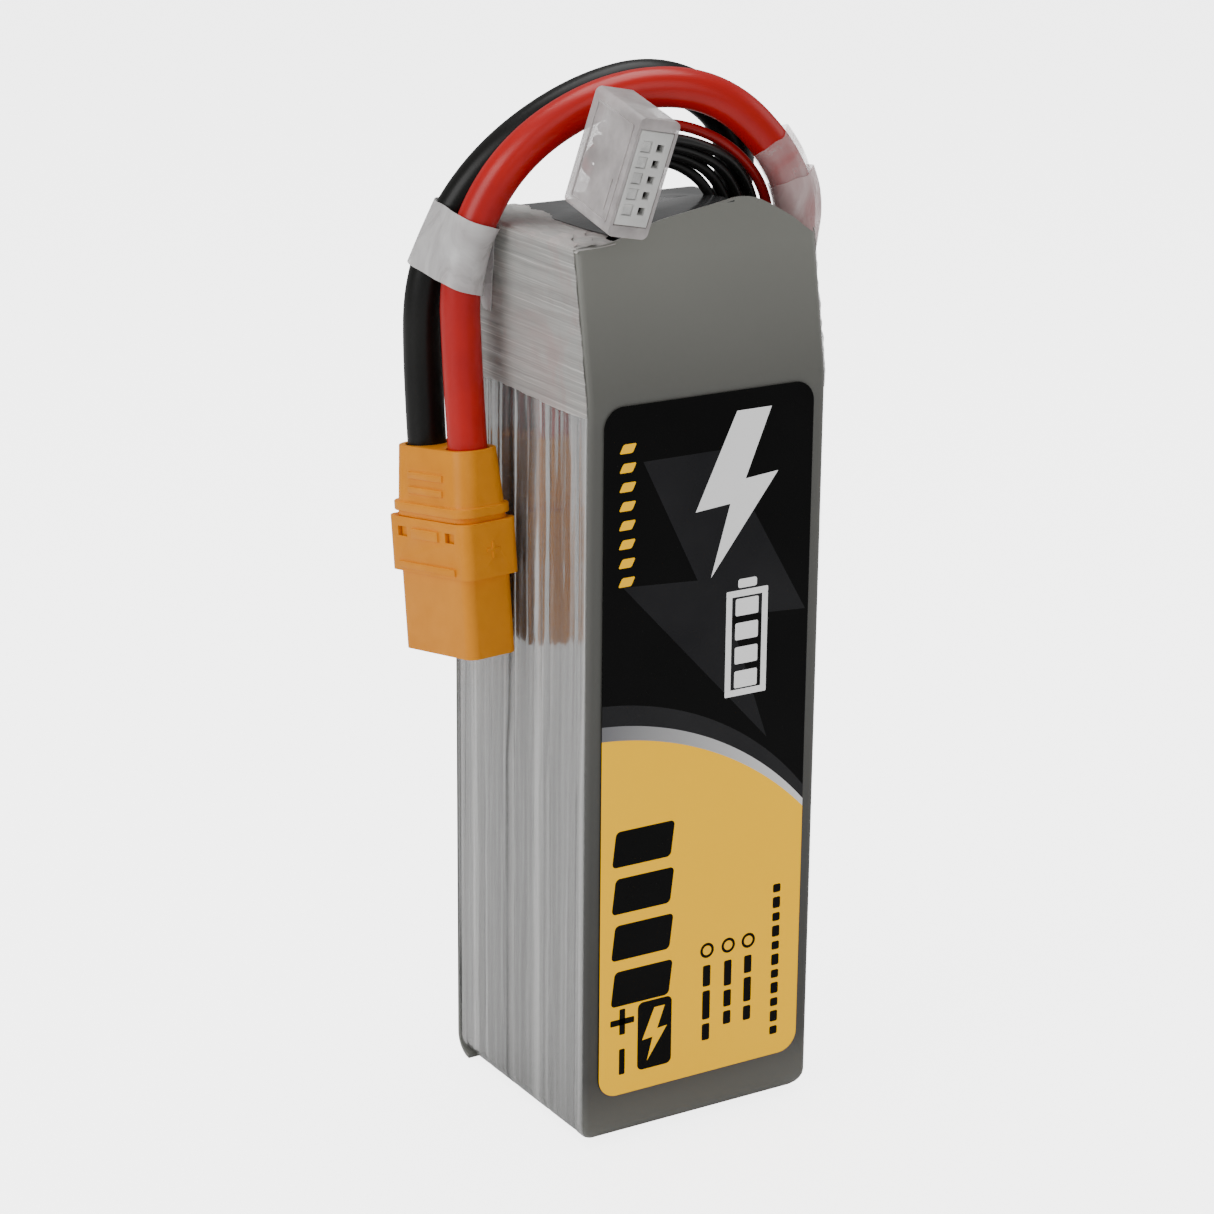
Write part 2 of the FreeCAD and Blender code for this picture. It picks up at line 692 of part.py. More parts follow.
collar = rounded_block(
    "collar",
    "Sizes.collar_thickness",
    "Sizes.collar_width",
    "Sizes.collar_height",
    "Sizes.housing_corner",
)
move(collar, z=COLLAR_FOOT)
plug_body = rounded_block(
    "plug_body",
    "Sizes.body_thickness",
    "Sizes.body_width",
    "Sizes.body_height + Sizes.tool_overrun",
    "Sizes.housing_corner",
)
move(plug_body, z=MOUTH)
housing_adds = [collar, plug_body]
housing_cuts = []
tongues = []
ribs = []
COLLAR_HALF = "Sizes.collar_thickness / 2"
tongue_outer = f"({COLLAR_HALF} - Sizes.tongue_inset)"
tongue_inner = f"({tongue_outer} - Sizes.tongue_wall)"
for face, sign in FACES:
    housing_adds.append(
        face_bar(
            f"latch_bar_{face}",
            sign,
            COLLAR_HALF,
            "Sizes.rib_proud",
            mirrored("Sizes.bar_length / 2"),
            ("-Sizes.window_drop - Sizes.window_height", "-Sizes.window_drop"),
        )
    )
    housing_adds.append(
        face_bar(
            f"long_rib_{face}",
            sign,
            COLLAR_HALF,
            "Sizes.rib_proud",
            mirrored("Sizes.long_rib_length / 2"),
            (f"{COLLAR_FOOT} + Sizes.rib_sink", f"{COLLAR_FOOT} + Sizes.rib_sink + Sizes.rib_height"),
        )
    )
    for row in range(2):
        lift = f"(Sizes.rib_lift + {row} * Sizes.rib_step)"
        taper = "(Sizes.cover_foot_thickness - Sizes.cover_top_thickness) / 2 / Sizes.cover_height"
        cover_half = f"(Sizes.cover_foot_thickness / 2 - {taper} * {lift})"
        rib_z = (lift, f"{lift} + Sizes.rib_height")
        rib_y = mirrored("Sizes.rib_length / 2")
        ribs.append(
            face_bar(f"cover_rib_{face}_{row}", sign, cover_half, "Sizes.rib_proud", rib_y, rib_z)
        )
    for end, end_sign in (("near", -1), ("far", 1)):
        tongue_middle = f"({end_sign} * Sizes.tongue_offset)"
        reach = (f"{sign} * {tongue_inner}", f"{sign} * {tongue_outer}")
        gapped = (
            f"{sign} * ({tongue_inner} - Sizes.tongue_gap)",
            f"{sign} * ({tongue_outer} + Sizes.tongue_gap)",
        )
        window = (f"{sign} * {tongue_inner}", f"{sign} * ({COLLAR_HALF} + Sizes.tool_overrun)")
        tongues.append(
            box(
                f"tongue_{face}_{end}",
                reach if sign > 0 else reach[::-1],
                around(tongue_middle, "Sizes.tongue_width / 2"),
                ("-Sizes.tongue_length", "Sizes.bead_lift"),
            )
        )
        housing_cuts.append(
            box(
                f"channel_{face}_{end}",
                gapped if sign > 0 else gapped[::-1],
                around(tongue_middle, "Sizes.tongue_width / 2 + Sizes.tongue_gap"),
                ("-Sizes.tongue_length - Sizes.tongue_gap", "Sizes.tool_overrun"),
            )
        )
        housing_cuts.append(
            box(
                f"window_{face}_{end}",
                window if sign > 0 else window[::-1],
                around(tongue_middle, "Sizes.tongue_width / 2 + Sizes.tongue_gap"),
                ("-Sizes.window_drop - Sizes.window_height", "-Sizes.window_drop"),
            )
        )
mark_z = f"({COLLAR_FOOT} / 2)"
END_FACE = "(Sizes.collar_width / 2)"
mark_bars = (
    ("plus_across", -1, "Sizes.mark_length", "Sizes.mark_wall"),
    ("plus_upright", -1, "Sizes.mark_wall", "Sizes.mark_length"),
    ("minus_across", 1, "Sizes.mark_length", "Sizes.mark_wall"),
)
for name, sign, across, upright in mark_bars:
    inner = f"{sign} * ({END_FACE} - Sizes.rib_sink)"
    outer = f"{sign} * ({END_FACE} + Sizes.mark_proud)"
    housing_adds.append(
        box(
            name,
            mirrored(f"{across} / 2"),
            (inner, outer) if sign > 0 else (outer, inner),
            around(mark_z, f"{upright} / 2"),
        )
    )
for end, lead_y in LEAD_ENDS:
    bore_z = (f"{MOUTH} - Sizes.tool_overrun", "Sizes.tool_overrun")
    housing_cuts.append(cylinder(f"contact_bore_{end}", "Sizes.contact_radius", bore_z, y=lead_y))
housing = cut("plug_housing", fuse("housing_solid", housing_adds), fuse("housing_hollows", housing_cuts))
node(placed(housing, plug_place), "main_plug_housing")

for end, lead_y in LEAD_ENDS:
    barrel_foot = f"({MOUTH} + Sizes.contact_recess)"
    barrel = cylinder(f"barrel_{end}", "Sizes.contact_radius", (barrel_foot, "Sizes.cup_height"), y=lead_y)
    socket = cylinder(
        f"socket_{end}",
        "Sizes.socket_radius",
        (f"{barrel_foot} - Sizes.tool_overrun", f"{barrel_foot} + Sizes.socket_depth"),
        y=lead_y,
    )
    cup = cylinder(
        f"cup_{end}",
        "Sizes.cup_radius",
        ("Sizes.cup_height - Sizes.cup_depth", "Sizes.cup_height + Sizes.tool_overrun"),
        y=lead_y,
    )
    contact = cut(f"contact_{end}", barrel, fuse(f"contact_hollows_{end}", [socket, cup]))
    node(placed(contact, plug_place), f"main_plug_contact_{end}")

cover_block = doc.addObject("PartDesign::Body", "cover_block")
cover_wedge = cover_block.newObject("PartDesign::AdditiveWedge", "cover_wedge")
cover_wedge.Placement.Rotation = Rotation(Vector(1, 0, 0), 90)
bind(
    cover_wedge,
    Xmin="-Sizes.cover_foot_thickness / 2",
    Xmax="Sizes.cover_foot_thickness / 2",
    X2min="-Sizes.cover_top_thickness / 2",
    X2max="Sizes.cover_top_thickness / 2",
    Ymin="0",
    Ymax="Sizes.cover_height",
    Zmin="-Sizes.cover_foot_width / 2",
    Zmax="Sizes.cover_foot_width / 2",
    Z2min="-Sizes.cover_top_width / 2",
    Z2max="Sizes.cover_top_width / 2",
)
doc.recompute()
fillet(cover_block, cover_wedge, upright_edges(cover_wedge.Shape), "Sizes.cover_corner")
bead = rounded_block(
    "bead",
    "Sizes.cover_foot_thickness + 2 * Sizes.bead_proud",
    "Sizes.cover_foot_width + 2 * Sizes.bead_proud",
    "Sizes.bead_height",
    "Sizes.cover_corner",
)
move(bead, z="Sizes.bead_lift")
cover_holes = []
for end, lead_y in LEAD_ENDS:
    hole_radius = "Sizes.lead_radius + Sizes.cover_gap"
    hole_z = ("-Sizes.tool_overrun", "Sizes.cover_height + Sizes.tool_overrun")
    cover_holes.append(cylinder(f"cover_hole_{end}", hole_radius, hole_z, y=lead_y))
cover_solid = fuse("cover_solid", [cover_block, bead, *ribs, *tongues])
cover = cut("plug_cover", cover_solid, fuse("cover_hollows", cover_holes))
node(placed(cover, plug_place), "main_plug_cover")

# The power leads, each from its solder cup to its terminal on the board.
for label, points, end_y in (
    ("red_power_lead", RED_LEAD_POINTS, -size("lead_spacing") / 2),
    ("black_power_lead", BLACK_LEAD_POINTS, size("lead_spacing") / 2),
):
    start = plug_place.multVec(Vector(0, end_y, size("cup_height")))
    clear = plug_place.multVec(Vector(0, end_y, size("cup_height") + size("lead_straight")))
    route = route_edges([start, clear, *map(corner_point, points)], label)
    tube = ring_sweep(route, size("lead_radius"))
    node(feature(label, tube), label)
    length = sum(edge.Length for edge in route)
    print(label, "length", round(length, 1), "volume ratio", lead_ratio(tube, length, "lead_radius"))
    if label == "red_power_lead":
        wrap = route[-4:-1]

for end, points in (("positive", RED_LEAD_POINTS), ("negative", BLACK_LEAD_POINTS)):
    x, y, drop = points[-1]
    terminal = cylinder(
        f"terminal_{end}",
        "Sizes.terminal_radius",
        (BOARD_TOP, f"{TOP} + {drop}"),
        f"{LEFT} + {x}",
        str(y),
    )
    node(terminal, f"board_terminal_{end}")

wrap_inner = size("lead_radius") + size("wrap_gap")
wrap_tape = ring_sweep(wrap, wrap_inner + size("wrap_wall"), wrap_inner)
node(feature("lead_wrap", wrap_tape), "red_lead_tape")

# The tape around both leads, and its tail on the side of the pack.
tape_centre = corner_point((-size("lead_tape_out"), size("lead_tape_back"), -size("lead_tape_drop")))
tape_place = Placement(
    tape_centre,
    Rotation(Vector(0, 1, 0), size("lead_tape_lean")) * Rotation(Vector(1, 0, 0), size("lead_tape_tilt")),
)


def oblong(name, radius, height):
    """Two cylinders and the box between them, as a tape lies around two leads."""
    z = mirrored(height)
    apart = mirrored("Sizes.lead_tape_apart")
    pieces = [cylinder(f"{name}_{side}", radius, z, y=y) for side, y in zip(("near", "far"), apart)]
    pieces.append(box(f"{name}_flat", mirrored(radius), apart, z))
    return fuse(name, pieces)


band_inner = "Sizes.lead_radius + Sizes.lead_tape_gap"
band = cut(
    "lead_band",
    oblong("band_outer", f"{band_inner} + Sizes.lead_tape_wall", "Sizes.lead_tape_length / 2"),
    oblong("band_inner", band_inner, "Sizes.lead_tape_length / 2 + Sizes.tool_overrun"),
)
placed(band, tape_place)
tail_x = (f"-{tape_side} - Sizes.lead_tape_wall - Sizes.fit_gap", f"-{tape_side} - Sizes.fit_gap")
tail_z = (f"{TOP} - Sizes.lead_tape_drop - Sizes.tail_drop", f"{TOP} - Sizes.lead_tape_drop")
tail_front = "(Sizes.lead_tape_back - Sizes.tail_shift)"
tail_y = (tail_front, f"{tail_front} + Sizes.tail_width")
tail = box("tape_tail", tail_x, tail_y, tail_z)
bridge = box(
    "tape_bridge",
    (f"{LEFT} - Sizes.bridge_reach", tail_x[1]),
    tail_y,
    (f"{TOP} - Sizes.lead_tape_drop - Sizes.lead_tape_wall", f"{TOP} - Sizes.lead_tape_drop"),
)
node(fuse("band_with_tail", [band, tail, bridge]), "lead_tape")

# The balance plug: X is its thickness, Y runs back from the mating face, Z along the row.
clip_place = Placement(
    corner_point((size("clip_out"), -size("clip_forward"), size("clip_rise"))),
    Rotation(Vector(0, 1, 0), size("clip_lean")) * Rotation(Vector(1, 0, 0), size("clip_tilt")),
)
CRIMP_HALF = "Sizes.crimp_size / 2"
CAVITY_HALF = f"({CRIMP_HALF} + Sizes.cavity_gap)"
CRIMP_BACK = "(Sizes.crimp_recess + Sizes.crimp_length)"
LANCE_BACK = "(Sizes.lance_recess + Sizes.lance_length + Sizes.crimp_recess)"
connector = box(
    "connector_block",
    mirrored("Sizes.connector_thickness / 2"),
    ("0", "Sizes.connector_depth"),
    mirrored("Sizes.connector_length / 2"),
)
cavities = []
for index in range(WIRE_COUNT):
    pin_z = f"({index - (WIRE_COUNT - 1) / 2} * Sizes.pin_pitch)"
    crimp = box(
        f"crimp_{index}",
        around("Sizes.pin_shift", CRIMP_HALF),
        ("Sizes.crimp_recess", CRIMP_BACK),
        around(pin_z, CRIMP_HALF),
    )
    lance = box(
        f"lance_{index}",
        around("-Sizes.pin_shift", CRIMP_HALF),
        ("Sizes.lance_recess", LANCE_BACK),
        around(pin_z, CRIMP_HALF),
    )
    arm = box(
        f"arm_{index}",
        mirrored("Sizes.pin_shift"),
        (f"{LANCE_BACK} - Sizes.arm_wall", LANCE_BACK),
        around(pin_z, CRIMP_HALF),
    )
    pin_hole = box(
        f"pin_hole_{index}",
        around("Sizes.pin_shift", "Sizes.pin_hole / 2"),
        ("0", "Sizes.crimp_recess + Sizes.pin_depth"),
        around(pin_z, "Sizes.pin_hole / 2"),
    )
    contact = cut(f"crimp_contact_{index}", fuse(f"contact_solid_{index}", [crimp, lance, arm]), pin_hole)
    node(placed(contact, clip_place), f"balance_contact_{index + 1}")
    cavity_z = around(pin_z, CAVITY_HALF)
    cavities.append(
        box(
            f"cavity_back_{index}",
            around("Sizes.pin_shift", CAVITY_HALF),
            ("Sizes.crimp_recess", "Sizes.connector_depth + Sizes.tool_overrun"),
            cavity_z,
        )
    )
    cavities.append(
        box(
            f"cavity_mouth_{index}",
            around("Sizes.pin_shift", "Sizes.pin_hole / 2 + Sizes.cavity_gap"),
            ("-Sizes.tool_overrun", "Sizes.crimp_recess"),
            around(pin_z, "Sizes.pin_hole / 2 + Sizes.cavity_gap"),
        )
    )
    cavities.append(
        box(
            f"cavity_lance_{index}",
            around("-Sizes.pin_shift", CAVITY_HALF),
            ("-Sizes.tool_overrun", f"{LANCE_BACK} + Sizes.cavity_gap"),
            cavity_z,
        )
    )
    cavities.append(
        box(
            f"cavity_arm_{index}",
            mirrored("Sizes.pin_shift"),
            (
                f"{LANCE_BACK} - Sizes.arm_wall - Sizes.cavity_gap",
                f"{LANCE_BACK} + Sizes.cavity_gap",
            ),
            cavity_z,
        )
    )
connector_cut = cut("hollow_connector", connector, fuse("cavities", cavities))
node(placed(connector_cut, clip_place), "balance_plug_housing")

clip_block = rounded_block(
    "clip_block", "Sizes.clip_thickness", "Sizes.clip_length", "Sizes.clip_depth", "Sizes.clip_corner"
)
clip_block.Placement.Rotation = Rotation(Vector(1, 0, 0), -90)
clip_hollow = box(
    "clip_hollow",
    mirrored("Sizes.connector_thickness / 2 + Sizes.clip_gap"),
    ("-Sizes.tool_overrun", "Sizes.clip_depth + Sizes.tool_overrun"),
    mirrored("Sizes.connector_length / 2 + Sizes.clip_gap"),
)
node(placed(cut("clip_shell", clip_block, clip_hollow), clip_place), "balance_clip")

for index, points in enumerate(WIRE_POINTS):
    height = (index - (WIRE_COUNT - 1) / 2) * size("pin_pitch")
    crimp_back = size("crimp_recess") + size("crimp_length")
    start = clip_place.multVec(Vector(size("pin_shift"), crimp_back, height))
    clear = clip_place.multVec(Vector(size("pin_shift"), size("clip_depth") + size("wire_straight"), height))
    label = f"balance_wire_{index + 1}"
    route = route_edges([start, clear, *map(corner_point, points)], label)
    tube = ring_sweep(route, size("wire_radius"))
    node(feature(label, tube), label)
    length = sum(edge.Length for edge in route)
    print(label, "length", round(length, 1), "volume ratio", lead_ratio(tube, length, "wire_radius"))

doc.recompute()
for item in doc.Objects:
    if "Invalid" in item.State or "Error" in item.State:
        raise RuntimeError(f"{item.Name} did not recompute: {item.State}")
for item in nodes:
    if item.Shape.isNull() or not item.Shape.isValid():
        raise RuntimeError(f"{item.Label} has no valid shape")

os.makedirs("parts", exist_ok=True)
for item in nodes:
    item.Shape.exportStep(f"parts/{item.Label}.step")
print(len(nodes), "nodes")
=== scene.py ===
import json
import math

import bmesh
import bpy
from mathutils import Matrix, Vector, noise


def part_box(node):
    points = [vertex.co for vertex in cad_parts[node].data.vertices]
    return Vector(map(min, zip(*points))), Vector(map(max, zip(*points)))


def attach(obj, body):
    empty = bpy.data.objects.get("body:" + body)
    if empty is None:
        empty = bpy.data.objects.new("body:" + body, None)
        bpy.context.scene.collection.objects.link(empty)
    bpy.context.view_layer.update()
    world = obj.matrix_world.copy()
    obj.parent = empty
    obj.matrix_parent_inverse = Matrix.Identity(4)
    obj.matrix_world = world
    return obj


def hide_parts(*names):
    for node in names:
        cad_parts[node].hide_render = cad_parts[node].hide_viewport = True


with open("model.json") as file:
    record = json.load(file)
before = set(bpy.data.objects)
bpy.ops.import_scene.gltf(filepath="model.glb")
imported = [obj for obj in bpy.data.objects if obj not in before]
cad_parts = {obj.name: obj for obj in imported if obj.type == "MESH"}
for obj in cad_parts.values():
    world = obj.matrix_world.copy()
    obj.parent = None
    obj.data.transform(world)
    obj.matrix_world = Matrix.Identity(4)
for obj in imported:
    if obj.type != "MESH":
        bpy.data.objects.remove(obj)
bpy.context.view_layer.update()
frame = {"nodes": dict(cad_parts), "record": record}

mm = 0.001
nodes = frame["nodes"]
record = frame["record"]
slotOf = {part["node"]: part["material_slot"] for part in record["subparts"]}
bodyOf = {node: body for body, held in record["behaviour"]["bodies"].items() for node in held}

pack = {
    "side": 22.25,  # half the width, over the clear sleeve
    "face": 21.75,  # half the depth, over the clear sleeve
    "top": 150.0,
    "cellTop": 126.5,
    "frontLean": 4.25,
    "backLean": 3.0,
    "cardInset": 0.15,
    "filmGap": 0.02,
}
cornerPoint = Vector((-pack["side"], 0, pack["top"])) * mm  # leads and plugs are placed from here


# small helpers
def deselectAll():
    for item in bpy.context.selected_objects:
        item.select_set(False)


def pick(piece):
    deselectAll()
    piece.select_set(True)
    bpy.context.view_layer.objects.active = piece


def applyModifiers(piece):
    pick(piece)
    for modifier in list(piece.modifiers):
        bpy.ops.object.modifier_apply(modifier=modifier.name)


def smooth(piece, angle=35):
    pick(piece)
    bpy.ops.object.shade_smooth_by_angle(angle=math.radians(angle))


def blend(low, high, share):
    return low + (high - low) * share


def ease(share):
    share = min(max(share, 0.0), 1.0)
    return share * share * (3 - 2 * share)


def ripple(x, y, z, seed=0.0):
    return noise.noise(Vector((x + seed, y - seed, z + 2 * seed)))


def settle(piece, material, body="pack", stands=()):
    piece.data.materials.clear()
    piece.data.materials.append(material)
    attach(piece, body)
    if stands:
        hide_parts(*stands)
    return piece


def cornerRun(x, z, radius, start, steps=10):
    turns = [math.radians(start + 90 * step / steps) for step in range(steps + 1)]
    return [(x + radius * math.cos(turn), z + radius * math.sin(turn)) for turn in turns]


def roundBar(x, z, wide, high, radius=0.5, lean=0.0):
    outline = []
    for cornerX, cornerZ, start in ((1, -1, 270), (1, 1, 0), (-1, 1, 90), (-1, -1, 180)):
        outline += cornerRun(cornerX * (wide / 2 - radius), cornerZ * (high / 2 - radius), radius, start, 5)
    return [(x + px + lean * pz, z + pz) for px, pz in outline]


def finishMesh(name, mesh):
    data = bpy.data.meshes.new(name)
    mesh.to_mesh(data)
    mesh.free()
    piece = bpy.data.objects.new(name, data)
    bpy.context.scene.collection.objects.link(piece)
    return piece


def sheetPiece(name, columns, rows, place, wall, offset=0.0, closed=False, drop=None, inside=(0, 0, 75)):
    # a grid whose points go where place(across, along) says, in millimetres
    deselectAll()
    bpy.ops.mesh.primitive_grid_add(x_subdivisions=columns, y_subdivisions=rows, size=2)
    piece = bpy.context.object
    piece.name = name
    piece.data.name = name
    mesh = bmesh.new()
    mesh.from_mesh(piece.data)
    if drop:
        unwanted = []
        for face in mesh.faces:
            centre = face.calc_center_median()
            if drop((centre.x + 1) / 2, (centre.y + 1) / 2):
                unwanted.append(face)
        bmesh.ops.delete(mesh, geom=unwanted, context="FACES")
    for vert in mesh.verts:
        vert.co = Vector(place((vert.co.x + 1) / 2, (vert.co.y + 1) / 2)) * mm
    if closed:
        bmesh.ops.remove_doubles(mesh, verts=mesh.verts, dist=0.001 * mm)
    mesh.normal_update()
    middle = Vector(inside) * mm
    facing = sum(face.normal.dot(face.calc_center_median() - middle) for face in mesh.faces)
    if facing < 0:
        bmesh.ops.reverse_faces(mesh, faces=mesh.faces)
    mesh.to_mesh(piece.data)
    mesh.free()
    if wall:
        thick = piece.modifiers.new("wall", "SOLIDIFY")
        thick.thickness = wall * mm
        thick.offset = offset
        applyModifiers(piece)
    smooth(piece, 50)
    return piece


def softCopy(node, width, material, segments=2, angle=30):
    # the same shape with its edges broken, as a mould leaves them
    deselectAll()
    piece = bpy.data.objects.new(node + "_soft", nodes[node].data.copy())
    bpy.context.scene.collection.objects.link(piece)
    pick(piece)
    bpy.ops.object.mode_set(mode="EDIT")
    bpy.ops.mesh.select_all(action="SELECT")
    bpy.ops.mesh.remove_doubles(threshold=0.001 * mm)
    bpy.ops.mesh.dissolve_limited(angle_limit=math.radians(0.5))
    bpy.ops.object.mode_set(mode="OBJECT")
    edge = piece.modifiers.new("edge", "BEVEL")
    edge.width = width * mm
    edge.segments = segments
    edge.limit_method = "ANGLE"
    edge.angle_limit = math.radians(angle)
    edge.use_clamp_overlap = True
    applyModifiers(piece)
    smooth(piece, 40)
    return settle(piece, material, bodyOf[node], [node])


# camera
cameraValues = {
    "place": (-0.27625, -0.44124, 0.25378),
    "yaw": 31.539,
    "pitch": 18.013,
    "roll": 0.544,
    "lens": 97.84,
    "sensor": 36.0,
}


def makeCamera(values):
    yaw, pitch, roll = (math.radians(values[key]) for key in ("yaw", "pitch", "roll"))
    ahead = Vector((math.sin(yaw) * math.cos(pitch), math.cos(yaw) * math.cos(pitch), -math.sin(pitch)))
    flat = Vector((math.cos(yaw), -math.sin(yaw), 0))
    upright = flat.cross(ahead)
    right = flat * math.cos(roll) + upright * math.sin(roll)
    up = upright * math.cos(roll) - flat * math.sin(roll)
    bpy.ops.object.camera_add(location=values["place"])
    camera = bpy.context.object
    camera.rotation_euler = Matrix((right, up, -ahead)).transposed().to_euler()
    camera.data.lens = values["lens"]
    camera.data.sensor_width = values["sensor"]
    camera.data.clip_start = 0.01
    bpy.context.scene.camera = camera


makeCamera(cameraValues)
print("camera is set")


# shader helpers and shared node groups
def addNode(tree, kind, **settings):
    made = tree.nodes.new(kind)
    for key, value in settings.items():
        setattr(made, key, value)
    return made


def newGroup(name, inputs, outputs):
    tree = bpy.data.node_groups.new(name, "ShaderNodeTree")
    for label, kind, value in inputs:
        socket = tree.interface.new_socket(name=label, in_out="INPUT", socket_type=kind)
        if value is not None:
            socket.default_value = value
    for label, kind in outputs:
        tree.interface.new_socket(name=label, in_out="OUTPUT", socket_type=kind)
    return tree, addNode(tree, "NodeGroupInput"), addNode(tree, "NodeGroupOutput")


def noiseNode(tree, vector, scale, detail=3.0, roughness=0.55, distortion=0.0):
    made = addNode(tree, "ShaderNodeTexNoise")
    made.inputs["Detail"].default_value = detail
    made.inputs["Roughness"].default_value = roughness
    made.inputs["Distortion"].default_value = distortion
    tree.links.new(vector, made.inputs["Vector"])
    if hasattr(scale, "is_linked"):
        tree.links.new(scale, made.inputs["Scale"])
    else:
        made.inputs["Scale"].default_value = scale
    return made.outputs["Fac"]


def spread(tree, value, low, high, toLow=0.0, toHigh=1.0):
    made = addNode(tree, "ShaderNodeMapRange")
    tree.links.new(value, made.inputs["Value"])
    for key, setting in (("From Min", low), ("From Max", high), ("To Min", toLow), ("To Max", toHigh)):
        if hasattr(setting, "is_linked"):
            tree.links.new(setting, made.inputs[key])
        else:
            made.inputs[key].default_value = setting
    return made.outputs["Result"]


def mixColor(tree, share, first, second, way="MIX"):
    made = addNode(tree, "ShaderNodeMix", data_type="RGBA", blend_type=way)
    if hasattr(share, "is_linked"):
        tree.links.new(share, made.inputs["Factor"])
    else:
        made.inputs["Factor"].default_value = share
    for key, setting in (("A", first), ("B", second)):
        socket = next(item for item in made.inputs if item.name == key and item.type == "RGBA")
        if hasattr(setting, "is_linked"):
            tree.links.new(setting, socket)
        else:
            socket.default_value = setting
    return next(item for item in made.outputs if item.type == "RGBA")


def maths(tree, operation, first, second=None):
    made = addNode(tree, "ShaderNodeMath", operation=operation)
    for index, setting in enumerate((first, second)):
        if setting is None:
            continue
        if hasattr(setting, "is_linked"):
            tree.links.new(setting, made.inputs[index])
        else:
            made.inputs[index].default_value = setting
    return made.outputs["Value"]


def makeSurfaceTone():
    # broad change of tone, fine grain and uneven gloss, for moulded and sheet surfaces
    tree, given, result = newGroup(
        "surfaceTone",
        [
            ("Vector", "NodeSocketVector", None),
            ("Dark", "NodeSocketColor", (0.1, 0.1, 0.1, 1)),
            ("Light", "NodeSocketColor", (0.3, 0.3, 0.3, 1)),
            ("Broad Scale", "NodeSocketFloat", 60.0),
            ("Fine Scale", "NodeSocketFloat", 2500.0),
            ("Gloss Low", "NodeSocketFloat", 0.35),
            ("Gloss High", "NodeSocketFloat", 0.5),
        ],
        [("Color", "NodeSocketColor"), ("Roughness", "NodeSocketFloat"), ("Height", "NodeSocketFloat")],
    )
    broad = noiseNode(tree, given.outputs["Vector"], given.outputs["Broad Scale"], 4)
    fine = noiseNode(tree, given.outputs["Vector"], given.outputs["Fine Scale"], 2)
    share = spread(tree, broad, 0.3, 0.7)
    tone = mixColor(tree, share, given.outputs["Dark"], given.outputs["Light"])
    gloss = spread(tree, broad, 0.25, 0.75, given.outputs["Gloss High"], given.outputs["Gloss Low"])
    tree.links.new(tone, result.inputs["Color"])
    tree.links.new(gloss, result.inputs["Roughness"])
    tree.links.new(fine, result.inputs["Height"])
    return tree


def makeStreaks():
    # long narrow folds and drawn lines; the vector is stretched before it comes in
    tree, given, result = newGroup(
        "streaks",
        [
            ("Vector", "NodeSocketVector", None),
            ("Scale", "NodeSocketFloat", 1.0),
            ("Bend", "NodeSocketFloat", 0.4),
        ],
        [("Height", "NodeSocketFloat"), ("Glint", "NodeSocketFloat"), ("Tone", "NodeSocketFloat")],
    )
    made = addNode(tree, "ShaderNodeTexNoise")
    made.inputs["Detail"].default_value = 4.0
    made.inputs["Roughness"].default_value = 0.6
    for key, source in (("Vector", "Vector"), ("Scale", "Scale"), ("Distortion", "Bend")):
        tree.links.new(given.outputs[source], made.inputs[key])
    glint = spread(tree, made.outputs["Fac"], 0.56, 0.68)
    tone = spread(tree, made.outputs["Fac"], 0.3, 0.7)
    tree.links.new(made.outputs["Fac"], result.inputs["Height"])
    tree.links.new(glint, result.inputs["Glint"])
    tree.links.new(tone, result.inputs["Tone"])
    return tree


surfaceTone = makeSurfaceTone()
streaks = makeStreaks()


def startMaterial(name, **values):
    material = bpy.data.materials.new(name)
    material.use_nodes = True
    tree = material.node_tree
    shader = tree.nodes["Principled BSDF"]
    for key, value in values.items():
        socket = shader.inputs[key.replace("_", " ")]
        socket.default_value = value
    place = addNode(tree, "ShaderNodeTexCoord").outputs["Object"]
    return material, tree, shader, place


def useGroup(tree, group, vector, **values):
    made = addNode(tree, "ShaderNodeGroup")
    made.node_tree = group
    tree.links.new(vector, made.inputs["Vector"])
    for key, value in values.items():
        made.inputs[key.replace("_", " ")].default_value = value
    return made


def stretched(tree, vector, scale):
    made = addNode(tree, "ShaderNodeMapping")
    made.inputs["Scale"].default_value = scale
    tree.links.new(vector, made.inputs["Vector"])
    return made.outputs["Vector"]


def streaked(tree, place, scale, bend):
    return useGroup(tree, streaks, stretched(tree, place, scale), Scale=1.0, Bend=bend).outputs


def axes(tree, place):
    parts = addNode(tree, "ShaderNodeSeparateXYZ")
    tree.links.new(place, parts.inputs["Vector"])
    return parts.outputs


def addBump(tree, shader, height, strength, distance):
    made = addNode(tree, "ShaderNodeBump")
    made.inputs["Strength"].default_value = strength
    made.inputs["Distance"].default_value = distance
    tree.links.new(height, made.inputs["Height"])
    tree.links.new(made.outputs["Normal"], shader.inputs["Normal"])


def addTone(tree, place, dark, light, gloss, broad, fine):
    return useGroup(
        tree,
        surfaceTone,
        place,
        Dark=(*dark, 1),
        Light=(*light, 1),
        Broad_Scale=broad,
        Fine_Scale=fine,
        Gloss_Low=gloss[0],
        Gloss_High=gloss[1],
    ).outputs


def tonedMaterial(name, dark, light, gloss, broad, fine, strength, distance=0.00005, **values):
    material, tree, shader, place = startMaterial(name, **values)
    tone = addTone(tree, place, dark, light, gloss, broad, fine)
    tree.links.new(tone["Color"], shader.inputs["Base Color"])
    tree.links.new(tone["Roughness"], shader.inputs["Roughness"])
    addBump(tree, shader, tone["Height"], strength, distance)
    return material


